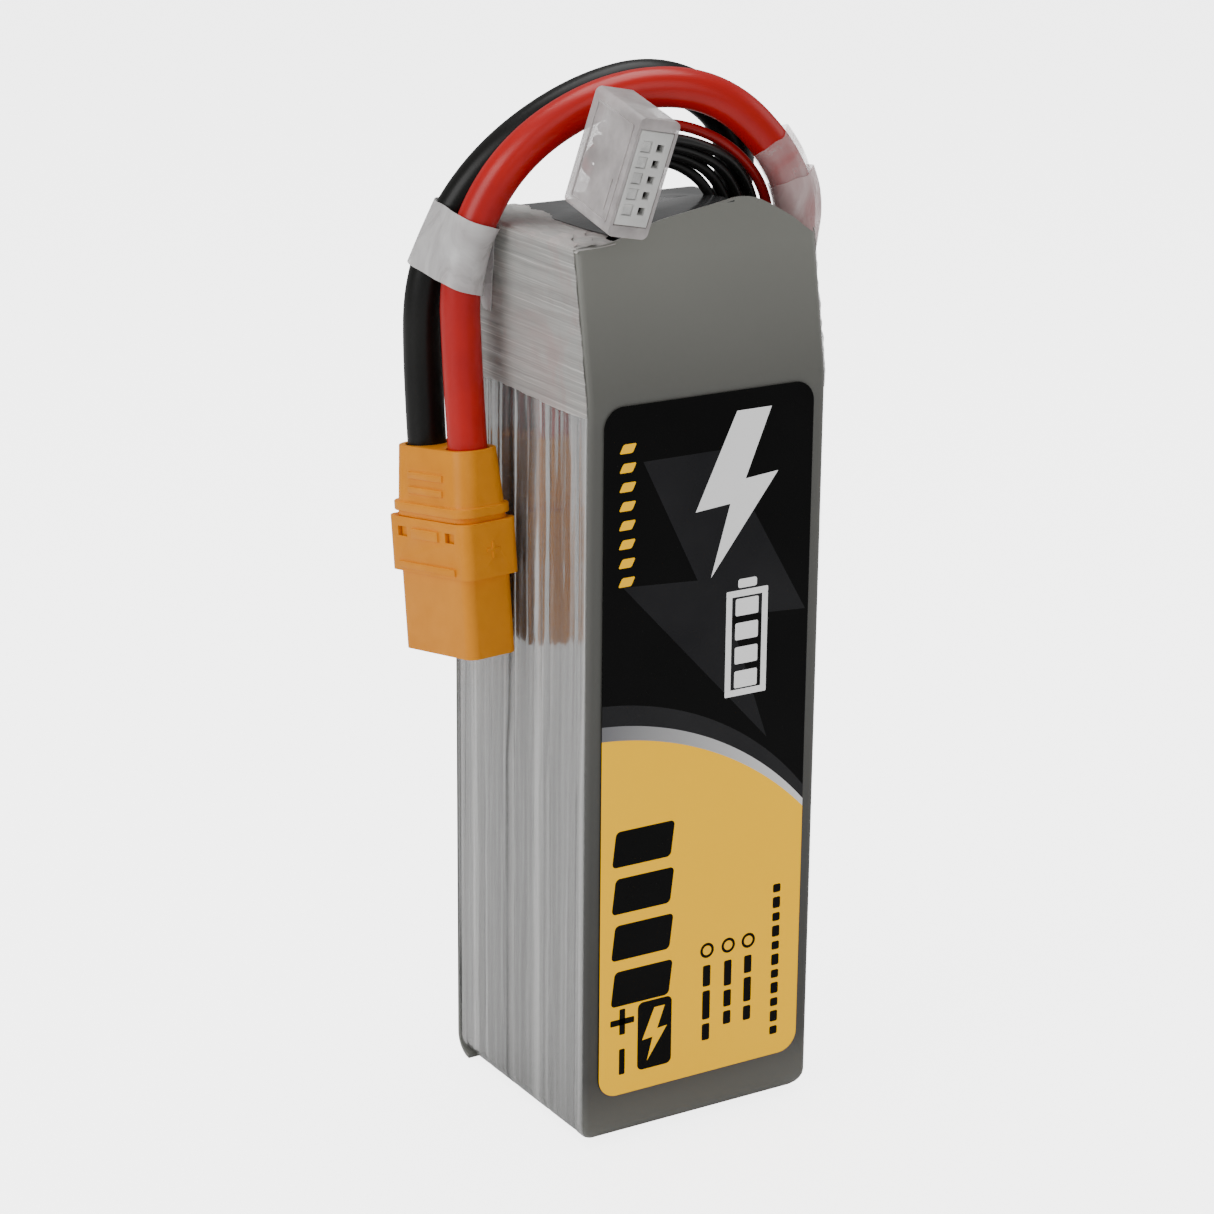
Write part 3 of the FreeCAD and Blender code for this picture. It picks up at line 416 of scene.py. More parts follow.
# painted light across the foil, from the label side to the back, in millimetres: painted highlights on the
# folds, painted shade in the grooves between cells
foilReach = 22
foilPaintedLight = [
    (-21.8, 0.36), (-20.6, 0.40), (-19.6, 0.66), (-18.6, 0.42), (-17.8, 0.38), (-17.3, 0.12),
    (-16.8, 0.42), (-15.2, 0.35), (-12.6, 0.44), (-11.4, 0.34), (-9.2, 0.38), (-8.4, 0.66),
    (-7.4, 0.36), (-6.4, 0.44), (-5.2, 0.70), (-4.2, 0.58), (-3.2, 0.35), (-2.2, 0.42),
    (-1.2, 0.33), (2.2, 0.36), (3.2, 0.58), (4.3, 0.36), (4.9, 0.07), (5.5, 0.33),
    (8.6, 0.35), (12.8, 0.41), (14.4, 0.40), (16.2, 0.62), (17.4, 0.42), (21.0, 0.48),
]


def makePouchFoil():
    material, tree, shader, place = startMaterial("pouchFoil", Metallic=0.92)
    drawn = streaked(tree, place, (700, 700, 4), 0.2)
    creased = streaked(tree, place, (160, 160, 45), 1.2)
    parts = axes(tree, place)
    sway = maths(tree, "MULTIPLY", noiseNode(tree, stretched(tree, place, (20, 90, 32)), 1.0, 3), 0.0022)
    loose = spread(tree, parts["Z"], 0.06, 0.08, 0.12, 1.0)
    across = maths(tree, "ADD", parts["Y"], maths(tree, "MULTIPLY", sway, loose))
    # the foil's grey with painted highlights and painted shade, laid by place across the pack
    ramp = addNode(tree, "ShaderNodeValToRGB")
    stops = ramp.color_ramp.elements
    while len(stops) < len(foilPaintedLight):
        stops.new(0.5)
    for stop, (y, tone) in zip(stops, foilPaintedLight):
        stop.position = (y + foilReach) / (2 * foilReach)
        stop.color = (tone, tone, tone * 0.985, 1)
    tree.links.new(spread(tree, across, -foilReach * mm, foilReach * mm), ramp.inputs["Fac"])
    shade = mixColor(tree, drawn["Tone"], (0.78, 0.78, 0.78, 1), (1.0, 1.0, 1.0, 1))
    tone = mixColor(tree, 1.0, ramp.outputs["Color"], shade, "MULTIPLY")
    tree.links.new(tone, shader.inputs["Base Color"])
    gloss = spread(tree, creased["Tone"], 0.0, 1.0, 0.10, 0.24)
    tree.links.new(gloss, shader.inputs["Roughness"])
    height = maths(tree, "ADD", drawn["Height"], creased["Height"])
    addBump(tree, shader, height, 0.14, 0.0003)
    return material


def makeClearFilm():
    values = {"Coat_Weight": 0.6, "Coat_Roughness": 0.08, "Specular_IOR_Level": 0.8}
    material, tree, shader, place = startMaterial("clearFilm", Base_Color=(0.9, 0.9, 0.89, 1), **values)
    folds = streaked(tree, place, (380, 380, 6), 0.3)
    crumple = streaked(tree, place, (90, 90, 30), 1.2)
    edge = addNode(tree, "ShaderNodeLayerWeight")
    edge.inputs["Blend"].default_value = 0.35
    # the white veil rises along the fold streaks as painted glints, and a little toward grazing views and in a
    # faint cloud
    clear = maths(tree, "MULTIPLY", folds["Glint"], 0.22)
    cloud = maths(tree, "MULTIPLY", crumple["Tone"], 0.03)
    slant = maths(tree, "MULTIPLY", edge.outputs["Facing"], 0.04)
    veil = maths(tree, "ADD", maths(tree, "ADD", clear, cloud), maths(tree, "ADD", slant, 0.02))
    tree.links.new(veil, shader.inputs["Alpha"])
    tree.links.new(spread(tree, folds["Tone"], 0.0, 1.0, 0.06, 0.16), shader.inputs["Roughness"])
    height = maths(tree, "ADD", folds["Height"], crumple["Height"])
    addBump(tree, shader, height, 0.25, 0.0004)
    return material


def makeFibreTape(name, tint, veil):
    material, tree, shader, place = startMaterial(name, Coat_Weight=0.4, Coat_Roughness=0.2)
    threads = streaked(tree, place, (34, 34, 3600), 0.25)
    soft = streaked(tree, place, (22, 22, 700), 0.5)
    blotch = noiseNode(tree, place, 90.0, 3, 0.6, 0.8)
    base = mixColor(tree, threads["Tone"], (0.46, 0.46, 0.44, 1), (0.70, 0.69, 0.66, 1))
    warm = mixColor(tree, spread(tree, blotch, 0.48, 0.68, 0.0, 0.55), base, tint)
    tree.links.new(warm, shader.inputs["Base Color"])
    dense = maths(tree, "MULTIPLY", soft["Tone"], 0.25)
    dense = maths(tree, "ADD", dense, maths(tree, "MULTIPLY", threads["Glint"], 0.2))
    tree.links.new(maths(tree, "ADD", dense, veil), shader.inputs["Alpha"])
    tree.links.new(spread(tree, soft["Tone"], 0.0, 1.0, 0.28, 0.5), shader.inputs["Roughness"])
    height = maths(tree, "ADD", threads["Height"], soft["Height"])
    addBump(tree, shader, height, 0.6, 0.00018)
    return material


def makeWrapTape(name, color, shade, veil, patchy):
    material, tree, shader, place = startMaterial(name, Coat_Weight=0.35, Coat_Roughness=0.15)
    crumple = streaked(tree, place, (150, 150, 110), 0.9)
    tone = mixColor(tree, crumple["Tone"], (*shade, 1), (*color, 1))
    tree.links.new(tone, shader.inputs["Base Color"])
    cloud = maths(tree, "MULTIPLY", crumple["Tone"], patchy)
    tree.links.new(maths(tree, "ADD", cloud, veil), shader.inputs["Alpha"])
    tree.links.new(spread(tree, crumple["Tone"], 0.0, 1.0, 0.22, 0.4), shader.inputs["Roughness"])
    addBump(tree, shader, crumple["Height"], 0.3, 0.0004)
    return material


def makeSilverInk():
    material, tree, shader, place = startMaterial("silverInk", Specular_IOR_Level=0.2)
    parts = axes(tree, place)
    share = spread(tree, parts["X"], -0.02, 0.02)
    grain = noiseNode(tree, place, 1800.0, 2)
    tone = mixColor(tree, share, (0.20, 0.20, 0.215, 1), (1.0, 1.0, 1.0, 1))
    tree.links.new(tone, shader.inputs["Base Color"])
    tree.links.new(spread(tree, grain, 0.0, 1.0, 0.25, 0.4), shader.inputs["Roughness"])
    return material


def makeGreyCard():
    # satin sheet with painted light: a little paler towards the leaning end, which tilts up to the light, and
    # along its lower fold, where it bends under
    values = {"Coat_Weight": 0.25, "Coat_Roughness": 0.3, "Specular_IOR_Level": 0.45}
    material, tree, shader, place = startMaterial("greyCard", **values)
    parts = axes(tree, place)
    # painted light by height, mixed over the card's grey: paler near the foot and rising towards the top
    low = spread(tree, parts["Z"], 0.012, 0.0, 0.0, 0.5)
    middle = spread(tree, parts["Z"], 0.030, 0.120, 0.0, 0.28)
    high = spread(tree, parts["Z"], 0.122, 0.148, 0.0, 0.5)
    height = maths(tree, "ADD", low, maths(tree, "ADD", middle, high))
    grain = addTone(tree, place, (0.044, 0.044, 0.040), (0.052, 0.052, 0.047), (0.36, 0.44), 25.0, 3500.0)
    tone = mixColor(tree, height, grain["Color"], (0.30, 0.30, 0.27, 1))
    tree.links.new(tone, shader.inputs["Base Color"])
    tree.links.new(grain["Roughness"], shader.inputs["Roughness"])
    addBump(tree, shader, grain["Height"], 0.06, 0.00003)
    return material


def makeMilkyPlastic():
    values = {"Coat_Weight": 0.3, "Coat_Roughness": 0.2, "Subsurface_Weight": 0.25}
    values["Subsurface_Radius"] = (0.002, 0.002, 0.0018)
    material, tree, shader, place = startMaterial("milkyPlastic", **values)
    tone = addTone(tree, place, (0.50, 0.455, 0.45), (0.72, 0.68, 0.675), (0.24, 0.42), 110.0, 2600.0)
    tree.links.new(tone["Color"], shader.inputs["Base Color"])
    tree.links.new(tone["Roughness"], shader.inputs["Roughness"])
    cloud = noiseNode(tree, place, 220.0, 3)
    tree.links.new(spread(tree, cloud, 0.3, 0.7, 0.6, 0.85), shader.inputs["Alpha"])
    addBump(tree, shader, tone["Height"], 0.08, 0.00004)
    return material


looks = {
    "pouchFoil": makePouchFoil(),
    "clearFilm": makeClearFilm(),
    "fibreTape": makeFibreTape("fibreTape", (0.60, 0.46, 0.44, 1), 0.5),
    "foldedTape": makeFibreTape("foldedTape", (0.80, 0.68, 0.66, 1), 0.7),
    "leadTape": makeWrapTape("leadTape", (0.80, 0.79, 0.78), (0.62, 0.59, 0.59), 0.66, 0.2),
    "upperRedTape": makeWrapTape("upperRedTape", (0.85, 0.74, 0.73), (0.7, 0.5, 0.5), 0.16, 0.25),
    "lowerRedTape": makeWrapTape("lowerRedTape", (0.86, 0.70, 0.69), (0.72, 0.42, 0.42), 0.38, 0.35),
    "silverInk": makeSilverInk(),
    "greyCard": makeGreyCard(),
    "milkyPlastic": makeMilkyPlastic(),
}
# dark and light tone, gloss from and to, broad and fine scale, bump strength and depth, then other values
tones = {
    "amberNylon": (
        (0.78, 0.26, 0.0), (0.88, 0.31, 0.002), (0.36, 0.48), 140.0, 4200.0, 0.12, 0.00005,
        {"Specular_IOR_Level": 0.3},
    ),
    "redSilicone": (
        (0.46, 0.003, 0.003), (0.56, 0.006, 0.004), (0.28, 0.38), 90.0, 2600.0, 0.10, 0.00005,
        {"Specular_IOR_Level": 0.45},
    ),
    "blackSilicone": (
        (0.002, 0.002, 0.002), (0.005, 0.005, 0.004), (0.3, 0.42), 90.0, 2600.0, 0.12, 0.00005,
        {"Specular_IOR_Level": 0.3},
    ),
    "redWire": ((0.42, 0.008, 0.008), (0.52, 0.012, 0.010), (0.28, 0.4), 160.0, 3600.0, 0.08, 0.00005, {}),
    "blackWire": (
        (0.007, 0.007, 0.007), (0.013, 0.013, 0.012), (0.26, 0.4), 160.0, 3600.0, 0.08, 0.00005, {},
    ),
    "darkCover": (
        (0.030, 0.031, 0.032), (0.055, 0.056, 0.058), (0.12, 0.24), 70.0, 900.0, 0.15, 0.0002,
        {"Coat_Weight": 0.3},
    ),
    "blackInk": (
        (0.0015, 0.0015, 0.0015), (0.003, 0.003, 0.003), (0.22, 0.3), 60.0, 1800.0, 0.02, 0.00005,
        {"Specular_IOR_Level": 0.08},
    ),
    "ghostInk": (
        (0.016, 0.016, 0.018), (0.024, 0.024, 0.026), (0.22, 0.3), 60.0, 1800.0, 0.02, 0.00005,
        {"Specular_IOR_Level": 0.08},
    ),
    "darkInk": (
        (0.022, 0.022, 0.024), (0.034, 0.034, 0.036), (0.22, 0.3), 60.0, 1800.0, 0.02, 0.00005,
        {"Specular_IOR_Level": 0.08},
    ),
    # white ink that glows a little: painted light
    "whiteInk": (
        (0.90, 0.90, 0.90), (0.96, 0.96, 0.96), (0.3, 0.4), 60.0, 1800.0, 0.02, 0.00005,
        {"Emission_Color": (1.0, 1.0, 1.0, 1), "Emission_Strength": 0.25},
    ),
    # yellow ink that glows: painted light
    "yellowInk": (
        (0.98, 0.53, 0.0), (1.0, 0.56, 0.0), (0.3, 0.4), 40.0, 1800.0, 0.02, 0.00005,
        {"Specular_IOR_Level": 0.1, "Emission_Color": (1.0, 0.50, 0.0, 1), "Emission_Strength": 0.45},
    ),
    "goldPlate": (
        (0.80, 0.52, 0.16), (0.90, 0.62, 0.24), (0.18, 0.34), 400.0, 5000.0, 0.1, 0.00005,
        {"Metallic": 1.0},
    ),
    "tinPlate": (
        (0.50, 0.50, 0.49), (0.74, 0.74, 0.72), (0.2, 0.38), 600.0, 6000.0, 0.15, 0.00005,
        {"Metallic": 1.0},
    ),
    "tabMetal": (
        (0.6, 0.6, 0.6), (0.76, 0.76, 0.76), (0.25, 0.4), 300.0, 5000.0, 0.15, 0.00005,
        {"Metallic": 1.0},
    ),
    "nickelTab": (
        (0.5, 0.48, 0.43), (0.66, 0.64, 0.58), (0.28, 0.42), 300.0, 5000.0, 0.15, 0.00005,
        {"Metallic": 1.0},
    ),
    "whiteNylon": (
        (0.66, 0.66, 0.64), (0.76, 0.76, 0.74), (0.3, 0.42), 200.0, 3600.0, 0.08, 0.00005,
        {"Subsurface_Weight": 0.1, "Subsurface_Radius": (0.001, 0.001, 0.001)},
    ),
    "whiteFoam": ((0.62, 0.62, 0.6), (0.8, 0.8, 0.78), (0.7, 0.9), 300.0, 2200.0, 0.6, 0.0001, {}),
    "greenBoard": ((0.012, 0.07, 0.03), (0.02, 0.11, 0.05), (0.25, 0.4), 120.0, 1500.0, 0.2, 0.00005, {}),
    "darkFoam": ((0.03, 0.03, 0.03), (0.07, 0.07, 0.07), (0.7, 0.9), 300.0, 2200.0, 0.6, 0.0001, {}),
}
for name, (*given, others) in tones.items():
    looks[name] = tonedMaterial(name, *given, **others)
print("materials are made")

lookOfSlot = {
    "silver_pouch": "pouchFoil",
    "aluminium_tab": "tabMetal",
    "nickel_tab": "nickelTab",
    "white_foam": "whiteFoam",
    "board_foam": "darkFoam",
    "green_board": "greenBoard",
    "grey_card": "greyCard",
    "dark_board": "darkCover",
    "dark_foam": "darkCover",
    "clear_film": "clearFilm",
    "printed_label": "blackInk",
    "fibre_tape": "fibreTape",
    "amber_nylon": "amberNylon",
    "gold_contact": "goldPlate",
    "red_silicone": "redSilicone",
    "black_silicone": "blackSilicone",
    "clear_tape": "leadTape",
    "red_wire": "redWire",
    "black_wire": "blackWire",
    "tinned_contact": "tinPlate",
    "white_nylon": "whiteNylon",
    "milky_plastic": "milkyPlastic",
}
for nodeName, item in nodes.items():
    item.data.materials.clear()
    item.data.materials.append(looks[lookOfSlot[slotOf[nodeName]]])

# leads and wires, with the same points as the solids, in metres from the corner point
plugPlace = (
    Matrix.Translation(cornerPoint + Vector((-0.00755, 0.0086, -0.0474)))
    @ Matrix.Rotation(math.radians(-7.4), 4, "X")
    @ Matrix.Rotation(math.radians(8.8), 4, "Z")
)
clipPlace = (
    Matrix.Translation(cornerPoint + Vector((0.00435, -0.0297, 0.0126)))
    @ Matrix.Rotation(math.radians(11.2), 4, "Y")
    @ Matrix.Rotation(math.radians(12.0), 4, "X")
)
leads = {
    "redPowerLead": {
        "node": "red_power_lead",
        "diameter": 0.0064,
        "length": 0.1301,
        "starts": [(0, -0.0054, 0.0045), (0, -0.0054, 0.0230)],
        "points": [
            (-0.00695, 0.0072, -0.0050),
            (0.00075, 0.0044, 0.0115),
            (0.01575, -0.0013, 0.0214),
            (0.03175, -0.0073, 0.0213),
            (0.04265, -0.0114, 0.0095),
            (0.04505, -0.0124, -0.0025),
            (0.0400, -0.0126, -0.0135),
        ],
    },
    "blackPowerLead": {
        "node": "black_power_lead",
        "diameter": 0.0064,
        "length": 0.1283,
        "starts": [(0, 0.0054, 0.0045), (0, 0.0054, 0.0230)],
        "points": [
            (-0.00835, 0.0162, -0.0080),
            (-0.00025, 0.0128, 0.0080),
            (0.01375, 0.0072, 0.0192),
            (0.02775, 0.0016, 0.0228),
            (0.03885, -0.0027, 0.0145),
            (0.03805, -0.0023, -0.0005),
            (0.03585, -0.0014, -0.0135),
        ],
    },
}
wires = {
    "diameter": 0.0017,
    "pitch": 0.0025,
    "shift": 0.0012,
    "starts": (0.0072, 0.0160),
    "lengths": (0.0762, 0.0622, 0.0639, 0.0658, 0.0682),
    "points": [
        [
            (0.00845, -0.0054, 0.0112),
            (0.01575, -0.0032, 0.0154),
            (0.02475, -0.0064, 0.0162),
            (0.03475, -0.0076, 0.0119),
            (0.04175, -0.0079, 0.0035),
            (0.04155, -0.0078, -0.0070),
            (0.04155, -0.0078, -0.0173),
        ],
        [
            (0.00865, -0.0070, 0.0130),
            (0.01765, -0.0058, 0.0110),
            (0.02575, -0.0054, 0.0094),
            (0.03085, -0.0070, 0.0052),
            (0.03345, -0.0077, -0.0030),
            (0.03325, -0.0077, -0.0102),
            (0.03325, -0.0077, -0.0173),
        ],
        [
            (0.00885, -0.0084, 0.0150),
            (0.01785, -0.0073, 0.0124),
            (0.02625, -0.0068, 0.0107),
            (0.03225, -0.0074, 0.0065),
            (0.03545, -0.0077, -0.0020),
            (0.03555, -0.0077, -0.0097),
            (0.03555, -0.0077, -0.0173),
        ],
        [
            (0.00905, -0.0098, 0.0170),
            (0.01805, -0.0089, 0.0138),
            (0.02625, -0.0083, 0.0120),
            (0.03385, -0.0079, 0.0078),
            (0.03745, -0.0077, -0.0004),
            (0.03755, -0.0077, -0.0090),
            (0.03755, -0.0077, -0.0173),
        ],
        [
            (0.00925, -0.0112, 0.0185),
            (0.01825, -0.0104, 0.0150),
            (0.02625, -0.0099, 0.0134),
            (0.03525, -0.0083, 0.0093),
            (0.03945, -0.0077, 0.0015),
            (0.03955, -0.0077, -0.0080),
            (0.03955, -0.0077, -0.0173),
        ],
    ],
}


def makeCord(name, points, diameter, material, node):
    data = bpy.data.curves.new(name, "CURVE")
    data.dimensions = "3D"
    spline = data.splines.new("NURBS")
    spline.points.add(len(points) - 1)
    for target, point in zip(spline.points, points):
        target.co = (*point, 1)
    spline.order_u = 3
    spline.use_endpoint_u = True
    data.resolution_u = 16
    data.bevel_depth = diameter / 2
    data.bevel_resolution = 10
    data.use_fill_caps = True
    piece = bpy.data.objects.new(name, data)
    bpy.context.scene.collection.objects.link(piece)
    return settle(piece, material, "pack", [node])


def cordLine(piece):
    bare = piece.data.copy()
    bare.bevel_depth = 0
    helper = bpy.data.objects.new("helper", bare)
    bpy.context.scene.collection.objects.link(helper)
    mesh = bpy.data.meshes.new_from_object(helper)
    line = [vert.co / mm for vert in mesh.vertices]
    bpy.data.objects.remove(helper)
    return line


cords = {}
for name, values in leads.items():
    route = [plugPlace @ Vector(point) for point in values["starts"]]
    route += [cornerPoint + Vector(point) for point in values["points"]]
    look = looks["redSilicone" if name.startswith("red") else "blackSilicone"]
    cords[name] = makeCord(name, route[::-1], values["diameter"], look, values["node"])
    values["exit"] = route[-1]
for index, points in enumerate(wires["points"]):
    height = (index - 2) * wires["pitch"]
    route = [clipPlace @ Vector((wires["shift"], back, height)) for back in wires["starts"]]
    route += [cornerPoint + Vector(point) for point in points]
    name = f"balanceWire{index + 1}"
    look = looks["redWire" if index == 0 else "blackWire"]
    cords[name] = makeCord(name, route[::-1], wires["diameter"], look, f"balance_wire_{index + 1}")
    cords[name]["exit"] = route[-1]
print("leads and wires are laid")

# moulded parts, with softened edges
plugHousing = softCopy("main_plug_housing", 0.3, looks["amberNylon"], 3)
plugCover = softCopy("main_plug_cover", 0.3, looks["amberNylon"], 3)
balanceHousing = softCopy("balance_plug_housing", 0.12, looks["whiteNylon"])
balanceClip = softCopy("balance_clip", 0.35, looks["milkyPlastic"], 3)
softCopy("end_plate", 0.15, looks["darkCover"])

clipLines = {"face": 3.6, "proud": 0.18, "wide": 0.28, "back": (1.3, 12.2), "rise": 7.6}


def makeClipLines(values):
    # a thin raised frame and a short bar on each broad face
    mesh = bmesh.new()
    back, front = values["back"][1], values["back"][0]
    bars = [
        (front, (-values["rise"], values["rise"])),
        (back, (-values["rise"], values["rise"])),
    ]
    boxes = [((middle - values["wide"] / 2, middle + values["wide"] / 2), span) for middle, span in bars]
    for middle in (-values["rise"], values["rise"]):
        boxes.append(((front, back), (middle - values["wide"] / 2, middle + values["wide"] / 2)))
    boxes.append(((2.6, 2.6 + values["wide"]), (-6.2, -1.4)))
    for side in (-1, 1):
        for (nearBack, farBack), (lowRise, highRise) in boxes:
            made = bmesh.ops.create_cube(mesh, size=1.0)["verts"]
            size = Vector((values["proud"] * 2, farBack - nearBack, highRise - lowRise))
            middle = Vector((side * values["face"], (nearBack + farBack) / 2, (lowRise + highRise) / 2))
            for vert in made:
                local = Vector((vert.co.x * size.x, vert.co.y * size.y, vert.co.z * size.z)) + middle
                vert.co = clipPlace @ (local * mm)
    piece = finishMesh("clipLines", mesh)
    return settle(piece, looks["milkyPlastic"], "balance_clip")


clipFrame = makeClipLines(clipLines)
print("plugs are moulded")

# sheets around the stack
crestPoints = [
    (-22.3, 149.9),
    (-15.6, 150.5),
    (-7.9, 153.0),
    (3.3, 154.7),
    (9.8, 155.8),
    (14.8, 153.4),
    (20.5, 149.8),
    (22.3, 147.4),
]


def crest(x):
    x = min(max(x, crestPoints[0][0]), crestPoints[-1][0])
    for (lowX, lowZ), (highX, highZ) in zip(crestPoints, crestPoints[1:]):
        if x <= highX:
            return blend(lowZ, highZ, (x - lowX) / (highX - lowX))
    return crestPoints[-1][1]


def smoothCrest(x):
    return sum(crest(x + shift) for shift in (-2.4, -1.2, 0, 1.2, 2.4)) / 5


def leanAt(z, total, start=124.0, soft=5.0):
    slope = total / (pack["top"] - pack["cellTop"])
    if z <= start:
        return 0.0
    if z < start + soft:
        return slope * (z - start) ** 2 / (2 * soft)
    return slope * (z - start - soft / 2)


def cardSection(share, face, flange, radius, step=0.0):
    # a point around the card, from one side's flange to the other's, drawn in by step
    side = pack["side"] - pack["cardInset"] - step
    face = face - step
    arc = radius * math.pi / 2
    front = 2 * (side - radius)
    total = 2 * flange + 2 * arc + front
    run = share * total
    mirror = 1 if run <= total / 2 else -1
    run = run if mirror > 0 else total - run
    if run < flange:
        x, y = -side, -face + radius + flange - run
    elif run < flange + arc:
        turn = (run - flange) / radius
        x, y = -side + radius - radius * math.cos(turn), -face + radius - radius * math.sin(turn)
    else:
        x, y = -side + radius + run - flange - arc, -face
    return mirror * x, y


def foldIn(along, share, foot, radius):
    # height and inward step of the lower fold, or nothing above it
    if along >= share:
        return None
    turn = along / share * math.pi / 2
    return foot + radius * (1 - math.cos(turn)), radius * (1 - math.sin(turn))


frontCard = {
    "face": 21.6,
    "flange": 0.15,
    "radius": 0.9,
    "wall": 0.7,
    "foot": 0.1,
    "fold": 3.8,
    "foldShare": 0.06,
}


def placeFrontCard(across, along):
    values = frontCard
    fold = foldIn(along, values["foldShare"], values["foot"], values["fold"])
    step = fold[1] if fold else 0.0
    x, y = cardSection(across, values["face"], values["flange"], values["radius"], step)
    if fold:
        return x, y, fold[0]
    share = (along - values["foldShare"]) / (1 - values["foldShare"])
    top = smoothCrest(x)
    z = blend(values["foot"] + values["fold"], top, share)
    return x, y + leanAt(z, pack["frontLean"]), z


front = sheetPiece("frontCardSheet", 150, 120, placeFrontCard, frontCard["wall"], -1.0)
settle(front, looks["greyCard"], "pack", ["front_card"])

backCard = {"face": 21.6, "wall": 0.7, "foot": 0.1, "fold": 3.8, "foldShare": 0.06}


def placeBackCard(across, along):
    values = backCard
    x = blend(-pack["side"] + 0.25, pack["side"] - 0.25, across)
    fold = foldIn(along, values["foldShare"], values["foot"], values["fold"])
    if fold:
        return x, values["face"] - fold[1], fold[0]
    share = (along - values["foldShare"]) / (1 - values["foldShare"])
    z = blend(values["foot"] + values["fold"], pack["top"] - 0.1, share)
    return x, values["face"] - leanAt(z, pack["backLean"]), z


back = sheetPiece("backCardSheet", 40, 90, placeBackCard, backCard["wall"], -1.0)
settle(back, looks["greyCard"], "pack", ["back_card"])
print("cards are folded")

baseSheet = {"wide": 18.6, "deep": 18.4, "corner": 2.5, "low": 0.12, "high": 0.75}


def makeBaseSheet(values):
    outline = roundBar(0, 0, 2 * values["wide"], 2 * values["deep"], values["corner"])
    mesh = bmesh.new()
    base = mesh.faces.new([mesh.verts.new(Vector((x, y, values["low"])) * mm) for x, y in outline])
    raised = bmesh.ops.extrude_face_region(mesh, geom=[base])
    lifted = [item for item in raised["geom"] if isinstance(item, bmesh.types.BMVert)]
    bmesh.ops.translate(mesh, verts=lifted, vec=Vector((0, 0, values["high"] - values["low"])) * mm)
    bmesh.ops.recalc_face_normals(mesh, faces=mesh.faces)
    piece = finishMesh("baseSheet", mesh)
    settle(piece, looks["greyCard"], "pack", ["base_card"])


makeBaseSheet(baseSheet)

sleeve = {
    "radius": 1.5,
    "start": 0.6,
    "foot": 0.12,
    "fold": 3.9,
    "foldShare": 0.06,
    "grooves": (-17.7, -8.2, 3.3, 13.2),
    "ridges": ((-4.6, 0.42), (-2.4, 0.30)),
    "wall": 0.08,
}


def wrapSection(share, side, front, back, radius):
    # point and outward direction around the two sides and the back, from one front edge to the other
    straight = back - radius - front
    arc = radius * math.pi / 2
    rear = side - radius
    half = straight + arc + rear
    run = share * 2 * half
    mirror = 1 if run <= half else -1
    run = run if mirror > 0 else 2 * half - run
    if run < straight:
        x, y, nx, ny = -side, front + run, -1, 0
    elif run < straight + arc:
        turn = (run - straight) / radius
        x, y = -side + radius - radius * math.cos(turn), back - radius + radius * math.sin(turn)
        nx, ny = -math.cos(turn), math.sin(turn)
    else:
        x, y, nx, ny = -side + radius + run - straight - arc, back, 0, 1
    return mirror * x, y, mirror * nx, ny


def sideDip(y, z, side):
    # how far the film is drawn in towards the cells between the two cards
    inner = ease((y + 18.9) / 1.6) * ease((20.6 - y) / 1.2)
    dip = 0.5 * inner
    for groove in sleeve["grooves"]:
        dip += 0.38 * inner * math.exp(-(((y - groove) / 0.55) ** 2))
    if side < 0:
        for ridge, height in sleeve["ridges"]:
            middle = ridge + 0.5 * ripple(0, 0, z * 0.06, ridge)
            strength = ease((z - 30) / 30) * ease((118 - z) / 25)
            dip -= height * strength * math.exp(-(((y - middle) / 0.35) ** 2))
    dip += inner * (0.16 * ripple(y * 0.9, side, z * 0.03) + 0.1 * ripple(y * 0.4, side, z * 0.09, 7))
    return max(dip, -0.04)


def placeSleeve(across, along):
    fold = foldIn(along, sleeve["foldShare"], sleeve["foot"], sleeve["fold"])
    inset = pack["filmGap"] + (fold[1] if fold else 0.0)
    side, face = pack["side"] - inset, pack["face"] - inset
    x, y, nx, ny = wrapSection(across, side, sleeve["start"] - face, face, sleeve["radius"])
    step = 0.0
    if fold:
        z = fold[0]
    else:
        share = (along - sleeve["foldShare"]) / (1 - sleeve["foldShare"])
        z = blend(sleeve["foot"] + sleeve["fold"], pack["cellTop"] - 0.1, share)
    if ny == 0:  # on one of the sides
        step += sideDip(y, z, nx) * ease(z / 4)
        step += 0.35 * ease((6 - z) / 6) * max(0.0, ripple(y * 0.5, nx, z * 0.6, 3))
    return x - nx * step, y - ny * step, z


film = sheetPiece("sleeveFilm", 460, 150, placeSleeve, sleeve["wall"], 0.0)
settle(film, looks["clearFilm"], "pack", ["shrink_sleeve"])
print("sleeve is shrunk on")

# the side seals of the pouches, folded flat and drawn in with the film that covers them
sealFold = {"wall": 0.1, "under": 0.14, "low": 0.35, "high": 125.6}


def makeSealFold(index, side):
    low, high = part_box(f"cell_{index + 1}")
    start = low.y / mm - 0.4 if index else -pack["face"] + 0.7
    end = high.y / mm + (0.6 if index < 3 else -0.4)

    def place(across, along):
        z = blend(sealFold["low"], sealFold["high"], along ** 1.5)
        y = blend(start, end, across)
        dip = sideDip(y, z, side) * ease(z / 4)
        curl = sleeve["fold"] * (1 - math.sin(math.acos(1 - min(z / sleeve["fold"], 1.0))))
        y *= 1 - curl / pack["face"]
        dip += curl
        tuck = 0.35 * ease((0.04 - across) / 0.04) + 0.3 * ease((across - 0.97) / 0.03)
        return side * (pack["side"] - pack["filmGap"] - dip - sealFold["under"] - tuck), y, z

    name = f"sealFold{index + 1}{'Left' if side < 0 else 'Right'}"
    piece = sheetPiece(name, 44, 110, place, sealFold["wall"])
    settle(piece, looks["pouchFoil"], "pack")


for index in range(4):
    for side in (-1, 1):
        makeSealFold(index, side)

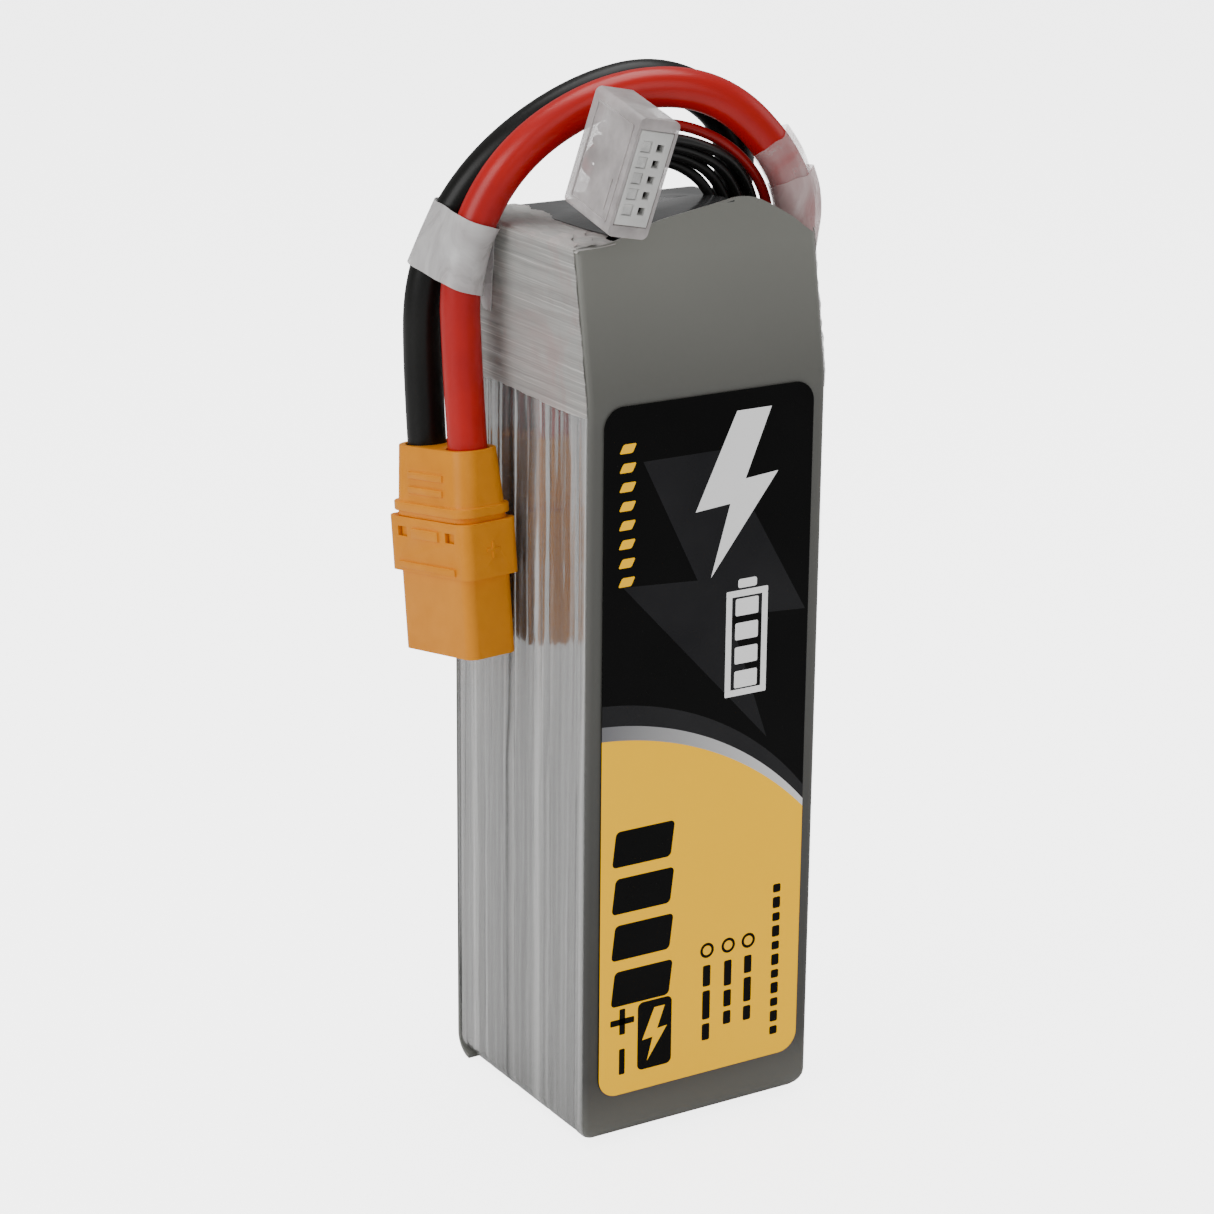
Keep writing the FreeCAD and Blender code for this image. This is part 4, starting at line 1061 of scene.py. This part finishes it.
# the fibre tape around the end
tape = {
    "low": 124.2,
    "wall": 0.14,
    "side": 22.3,
    "front": -20.9,
    "back": 21.75,
    "radius": 0.9,
    "exitY": (-16.6, -8.2),
    "exitZ": 132.6,
}


def tapeSection(share):
    return wrapSection(share, tape["side"], tape["front"], tape["back"], tape["radius"])


def tapeShift(y, z):
    share = (y - tape["front"]) / (tape["back"] - tape["front"])
    return blend(leanAt(z, pack["frontLean"]), -leanAt(z, pack["backLean"]), share)


def placeTape(across, along):
    x, y, nx, ny = tapeSection(across)
    low = tape["low"] + 0.35 * ripple(x * 0.25, y * 0.25, 0, 11) + 0.12 * ripple(x * 2, y * 2, 0, 4)
    z = blend(low, pack["top"] - 0.05, along)
    crinkle = 0.22 * ripple(x * 0.12, y * 0.12, z * 0.9, 2) + 0.1 * ripple(x * 0.5, y * 0.5, z * 0.35, 9)
    step = crinkle * ease((z - low) / 3) * ease((pack["top"] + 1 - z) / 3)
    step += -0.12 * math.exp(-((z - low) / 0.8) ** 2)
    return x + nx * step, y + tapeShift(y, z) + ny * step, z


def dropTape(across, along):
    x, y, nx = tapeSection(across)[:3]
    z = blend(tape["low"], pack["top"], along)
    shifted = y + tapeShift(y, z)
    return x > 0 and nx > 0.5 and tape["exitY"][0] < shifted < tape["exitY"][1] and z > tape["exitZ"]


tapeMiddle = (0, 0, 137)
tapeBand = sheetPiece("fibreTapeBand", 260, 70, placeTape, tape["wall"], drop=dropTape, inside=tapeMiddle)
settle(tapeBand, looks["fibreTape"], "pack", ["fibre_tape"])

flap = {"left": -22.2, "right": -12.0, "front": -17.4, "back": 18.4, "low": 149.95, "wall": 0.12}


def placeFlap(layer):
    def place(across, along):
        y = blend(flap["front"] + 0.8 * layer, flap["back"] - 2.2 * layer, along)
        ragged = 1.0 * ripple(layer, y * 0.35, 0, 21) + 0.4 * ripple(layer, y * 1.6, 0, 13)
        right = flap["right"] - 3.2 * layer + ragged - 3.0 * ease((-8 - y) / 9)
        x = blend(flap["left"] + 0.25 * layer, right, across)
        z = flap["low"] + 0.16 * layer + 0.28 * across
        z += 0.3 * abs(ripple(x * 0.5, y * 0.3, layer, 17)) * ease(across * 3)
        if across < 0.06:
            z -= 0.35 * (1 - across / 0.06)
        return x, y, z

    return place


for layer in range(3):
    piece = sheetPiece(f"tapeFlap{layer + 1}", 36, 90, placeFlap(layer), flap["wall"], 0.0)
    settle(piece, looks["foldedTape"], "pack")
print("tape is wrapped")

# the dark sheet that closes the end and rises to the front card
endCover = {"left": -13.5, "right": 21.6, "front": -16.5, "back": 18.0, "foot": 149.98, "wall": 0.2}


def placeEndCover(across, along):
    x = blend(endCover["left"], endCover["right"], across)
    y = blend(endCover["back"], endCover["front"], along)
    rise = smoothCrest(x) - 0.5 - endCover["foot"]
    z = endCover["foot"] + rise * ease(along * 1.05) ** 1.1
    z += 0.25 * ripple(x * 0.12, y * 0.12, 0, 31) * ease(along * 3) * ease((1 - along) * 4)
    return x, y, max(z, endCover["foot"])


def dropEndCover(across, along):
    x = blend(endCover["left"], endCover["right"], across)
    y = blend(endCover["back"], endCover["front"], along)
    return x > 7.0 and y < 1.8


cover = sheetPiece("endCover", 80, 80, placeEndCover, endCover["wall"], 0.0, drop=dropEndCover)
settle(cover, looks["darkCover"], "pack", ["end_pad"])


# tape on the leads
def capsulePoint(first, second, radius, share):
    along = (second - first).normalized()
    left = Vector((-along.y, along.x))
    gap = (second - first).length
    total = 2 * gap + 2 * math.pi * radius
    run = share * total
    if run < gap:
        return first + along * run - left * radius
    run -= gap
    if run < math.pi * radius:
        turn = run / radius
        return second - left * radius * math.cos(turn) + along * radius * math.sin(turn)
    run -= math.pi * radius
    if run < gap:
        return second - along * run + left * radius
    turn = (run - gap) / radius
    return first + left * radius * math.cos(turn) - along * radius * math.sin(turn)


bandPlace = (
    Matrix.Translation(cornerPoint / mm + Vector((-5.64, 10.75, -3.5)))
    @ Matrix.Rotation(math.radians(16.8), 4, "Y")
    @ Matrix.Rotation(math.radians(7.2), 4, "X")
)
bandBack = bandPlace.inverted()
leadBand = {"low": -5.6, "high": 5.4, "radius": 3.5, "wall": 0.15}


def crossings(name):
    line = [bandBack @ point for point in cordLine(cords[name])]
    near = [point for point in line if abs(point.x) < 9 and abs(point.z) < 12]
    return sorted(near, key=lambda point: point.z)


redNear, blackNear = crossings("redPowerLead"), crossings("blackPowerLead")


def crossingAt(line, level):
    for low, high in zip(line, line[1:]):
        if low.z <= level <= high.z:
            share = (level - low.z) / max(high.z - low.z, 1e-6)
            return Vector((blend(low.x, high.x, share), blend(low.y, high.y, share)))
    return Vector((line[-1].x, line[-1].y))


def placeBand(across, along):
    level = blend(leadBand["low"], leadBand["high"], along)
    turn = across * 6.283
    radius = leadBand["radius"]
    radius += 0.16 * ripple(math.cos(turn) * 1.5, math.sin(turn) * 1.5, level * 0.15, 41)
    radius += 0.22 * abs(along * 2 - 1) ** 3
    point = capsulePoint(crossingAt(redNear, level), crossingAt(blackNear, level), radius, across)
    edge = 0.35 * ripple(across * 9, level * 0.02, 0, 6) * (1 if along in (0, 1) else 0.5)
    return bandPlace @ Vector((point.x, point.y, level + edge))


bandMiddle = bandPlace.translation
band = sheetPiece("leadBand", 97, 26, placeBand, leadBand["wall"], closed=True, inside=bandMiddle)
settle(band, looks["leadTape"], "pack", ["lead_tape"])

tail = {"top": 149.5, "tip": 135.6, "front": (7.0, 8.4), "back": (15.5, 10.6), "wall": 0.15}


def placeTail(across, along):
    z = blend(tail["tip"], tail["top"], along)
    (frontTop, frontTip), (backTop, backTip) = tail["front"], tail["back"]
    y = blend(blend(frontTip, frontTop, along), blend(backTip, backTop, along ** 0.7), across)
    x = -22.62 - 1.0 * ease((z - 141) / 6) * ease(across * 2) + 0.1 * ripple(y * 0.4, z * 0.4, 0, 51)
    return x, y, z + 0.3 * ripple(across * 4, along * 3, 0, 12)


tailPiece = sheetPiece("leadTapeTail", 22, 40, placeTail, tail["wall"], 0.0, inside=(0, 10, 142))
settle(tailPiece, looks["leadTape"], "pack")

redLine = [point for point in cordLine(cords["redPowerLead"]) if point.x > 8]
redLine.sort(key=lambda point: point.z)


def leadAt(level):
    for low, high in zip(redLine, redLine[1:]):
        if low.z <= level <= high.z:
            share = (level - low.z) / max(high.z - low.z, 1e-6)
            return low.lerp(high, share), (high - low).normalized()
    return redLine[-1], (redLine[-1] - redLine[-2]).normalized()


redTapes = [
    {"name": "redTapeUpper", "low": 153.0, "high": 162.4, "radius": 3.38, "flare": 0.9, "look": "upperRedTape"},
    {"name": "redTapeLower", "low": 141.5, "high": 156.6, "radius": 3.55, "flare": 1.3, "look": "lowerRedTape"},
]


def placeRedTape(values):
    def place(across, along):
        level = blend(values["low"], values["high"], along)
        centre, direction = leadAt(level)
        sideways = direction.cross(Vector((0, 1, 0))).normalized()
        forward = sideways.cross(direction).normalized()
        turn = across * 2 * math.pi
        radius = values["radius"] + 0.12 * ripple(math.cos(turn) * 2, math.sin(turn) * 2, level * 0.3, 61)
        outward = max(0.0, -math.cos(turn))
        radius += values["flare"] * outward ** 8 * (0.5 + 0.5 * along)
        edge = 0.5 * ripple(math.cos(turn) * 1.3, math.sin(turn) * 1.3, along * 2, 8)
        return centre + (sideways * math.cos(turn) + forward * math.sin(turn)) * radius + direction * edge

    return place


for values in redTapes:
    middle = leadAt(150)[0]
    piece = sheetPiece(values["name"], 73, 34, placeRedTape(values), 0.1, closed=True, inside=middle)
    stands = ["red_lead_tape"] if values is redTapes[0] else ()
    settle(piece, looks[values["look"]], "pack", stands)
print("leads are taped")

# printing on the label, laid just over its face
printing = {"front": 21.885, "step": 0.022, "wall": 0.014}
labelEdge = {"left": -19.6, "right": 19.6, "low": 8.5, "high": 125.8, "radius": 3.5}
curveValues = {
    "yellow": {"x": -24.0, "z": 10.9, "radius": 60.5},
    "silver": {"x": -24.0, "z": 15.9, "radius": 58.0},
    "dark": {"x": -24.0, "z": 21.4, "radius": 56.0},
}


def printPiece(name, outlines, layer, look):
    mesh = bmesh.new()
    y = -printing["front"] - layer * printing["step"]
    for outline in outlines:
        area = sum(a[0] * b[1] - b[0] * a[1] for a, b in zip(outline, outline[1:] + outline[:1]))
        ordered = outline if area > 0 else outline[::-1]
        corners = [mesh.verts.new(Vector((x, y, z)) * mm) for x, z in ordered]
        mesh.faces.new(corners)
    mesh.normal_update()
    bmesh.ops.triangulate(mesh, faces=mesh.faces, ngon_method="EAR_CLIP")
    piece = finishMesh(name, mesh)
    ink = piece.modifiers.new("ink", "SOLIDIFY")
    ink.thickness = printing["wall"] * mm
    ink.offset = 1.0
    applyModifiers(piece)
    return settle(piece, looks[look], "pack")


def curveHeight(key, x):
    values = curveValues[key]
    return values["z"] + math.sqrt(values["radius"] ** 2 - (x - values["x"]) ** 2)


def curveRun(key, steps=40):
    xs = [blend(labelEdge["left"], labelEdge["right"], step / steps) for step in range(steps + 1)]
    return [(x, curveHeight(key, x)) for x in xs]


def yellowField():
    radius = labelEdge["radius"]
    outline = cornerRun(labelEdge["left"] + radius, labelEdge["low"] + radius, radius, 180)
    outline += cornerRun(labelEdge["right"] - radius, labelEdge["low"] + radius, radius, 270)
    return outline + curveRun("yellow")[::-1]


def ringHalves(x, z, outer, inner, steps=14):
    halves = []
    for start in (0, 180):
        turns = [math.radians(start + 180 * step / steps) for step in range(steps + 1)]
        rim = [(x + outer * math.cos(turn), z + outer * math.sin(turn)) for turn in turns]
        hole = [(x + inner * math.cos(turn), z + inner * math.sin(turn)) for turn in turns]
        halves.append(rim + hole[::-1])
    return halves


boltShape = [(0.48, 1.0), (0.0, 0.42), (0.42, 0.44), (0.20, 0.0), (1.0, 0.60), (0.60, 0.58), (0.90, 1.0)]


def bolt(x, z, wide, high):
    return [(x + wide * px, z + high * pz) for px, pz in boltShape]


def frameBars(x, z, wide, high, line):
    # an open rectangle from four bars
    return [
        roundBar(x, z + high / 2 - line / 2, wide, line, 0.2),
        roundBar(x, z - high / 2 + line / 2, wide, line, 0.2),
        roundBar(x - wide / 2 + line / 2, z, line, high - 2 * line, 0.05),
        roundBar(x + wide / 2 - line / 2, z, line, high - 2 * line, 0.05),
    ]


printPiece("printYellowField", [yellowField()], 0, "yellowInk")
printPiece("printSilverBand", [curveRun("yellow") + curveRun("silver")[::-1]], 0, "silverInk")
printPiece("printDarkBand", [curveRun("silver") + curveRun("dark")[::-1]], 0, "darkInk")
printPiece("printGhostBolt", [bolt(19.0, 66.5, -35.0, 50.0)], 0, "ghostInk")
whiteShapes = [bolt(-2.6, 95.5, 15.6, 27.0)]
whiteShapes += frameBars(7.6, 83.6, 8.0, 18.0, 1.1)
whiteShapes.append(roundBar(7.6, 93.7, 3.6, 1.5, 0.4))
whiteShapes += [roundBar(7.6, 77.4 + 4.1 * step, 4.4, 2.9, 0.3) for step in range(4)]
printPiece("printWhite", whiteShapes, 1, "whiteInk")
yellowMarks = [roundBar(-15.3, 119 - 3.1 * step, 2.4, 1.5, 0.3, 0.5) for step in range(8)]
printPiece("printYellowMarks", yellowMarks, 1, "yellowInk")
blackShapes = [roundBar(-11.5, 52.2 - 8.2 * step, 11.2, 6.2, 0.8, 0.12) for step in range(4)]
blackShapes.append(roundBar(-8.9, 18.1, 6.6, 12.2, 1.0))
for z, wide, tall in ((21.6, 4.6, 1.1), (21.6, 1.1, 4.6), (14.4, 1.1, 4.6)):
    blackShapes.append(roundBar(-15.2, z, wide, tall, 0.2))
for x, dashes in ((9.4, (3.2, 4.4, 2.6)), (5.4, (4.6, 3.0, 2.4)), (1.2, (3.8, 5.2, 3.0))):
    blackShapes += ringHalves(x, 30.7, 1.35, 0.85)
    z = 28.0
    for dash in dashes:
        blackShapes.append(roundBar(x, z - dash / 2, 1.5, dash, 0.3))
        z -= dash + 0.8
blackShapes += [roundBar(14.9, 39.0 - 2.6 * step, 1.5, 1.5 + 0.5 * (step % 2), 0.3) for step in range(11)]
printPiece("printBlack", blackShapes, 1, "blackInk")
printPiece("printSmallBolt", [bolt(-11.3, 13.4, 4.8, 9.4)], 2, "yellowInk")
print("label is printed")

plugPieces = [plugHousing, plugCover, "main_plug_contact_positive", "main_plug_contact_negative"]
plugPieces += [band, tailPiece, "redTapeUpper", "redTapeLower"]
clipPieces = [balanceHousing, balanceClip, clipFrame]
clipPieces += [f"balance_contact_{index}" for index in range(1, 6)]
for index, length in enumerate(wires["lengths"]):
    piece = cords[f"balanceWire{index + 1}"]

# pale floor, soft lights
stageValues = {
    "floor": 4.0,
    "floorGlow": 4.0,
    "world": (1.0, 1.0, 1.0, 1),
    "worldStrength": 0.3,
    "lights": [
        ("keyLight", (-0.75, -0.05, 0.45), 0.5, 3.0),
        ("frontLight", (-0.3, -0.9, 0.6), 0.6, 1.4),
        ("rightLight", (0.8, -0.2, 0.4), 0.6, 1.2),
        ("topLight", (0.0, 0.15, 0.9), 0.6, 4.5),
    ],
}


def makeStage(values):
    deselectAll()
    bpy.ops.mesh.primitive_plane_add(size=values["floor"], location=(0, 0, -0.0002))
    floor = bpy.context.object
    floor.name = "floor"
    bpy.ops.object.transform_apply(location=True)
    tone = (0.92, 0.92, 0.92, 1)
    material, tree, shader, place = startMaterial("paleFloor", Base_Color=tone, Roughness=0.75)
    seen = addNode(tree, "ShaderNodeLightPath").outputs["Is Camera Ray"]
    glow = mixColor(tree, seen, (0, 0, 0, 1), (1, 1, 1, 1))
    tree.links.new(glow, shader.inputs["Emission Color"])
    shader.inputs["Emission Strength"].default_value = values["floorGlow"]
    floor.data.materials.append(material)
    for name, place, size, power in values["lights"]:
        bpy.ops.object.light_add(type="AREA", location=place)
        light = bpy.context.object
        light.name = name
        light.data.size = size
        light.data.energy = power
        aim = Vector((0, 0, 0.09)) - Vector(place)
        light.rotation_euler = aim.to_track_quat("-Z", "Y").to_euler()
    world = bpy.data.worlds.new("studio")
    world.use_nodes = True
    world.node_tree.nodes["Background"].inputs["Color"].default_value = values["world"]
    world.node_tree.nodes["Background"].inputs["Strength"].default_value = values["worldStrength"]
    bpy.context.scene.world = world


makeStage(stageValues)
print("stage is lit")
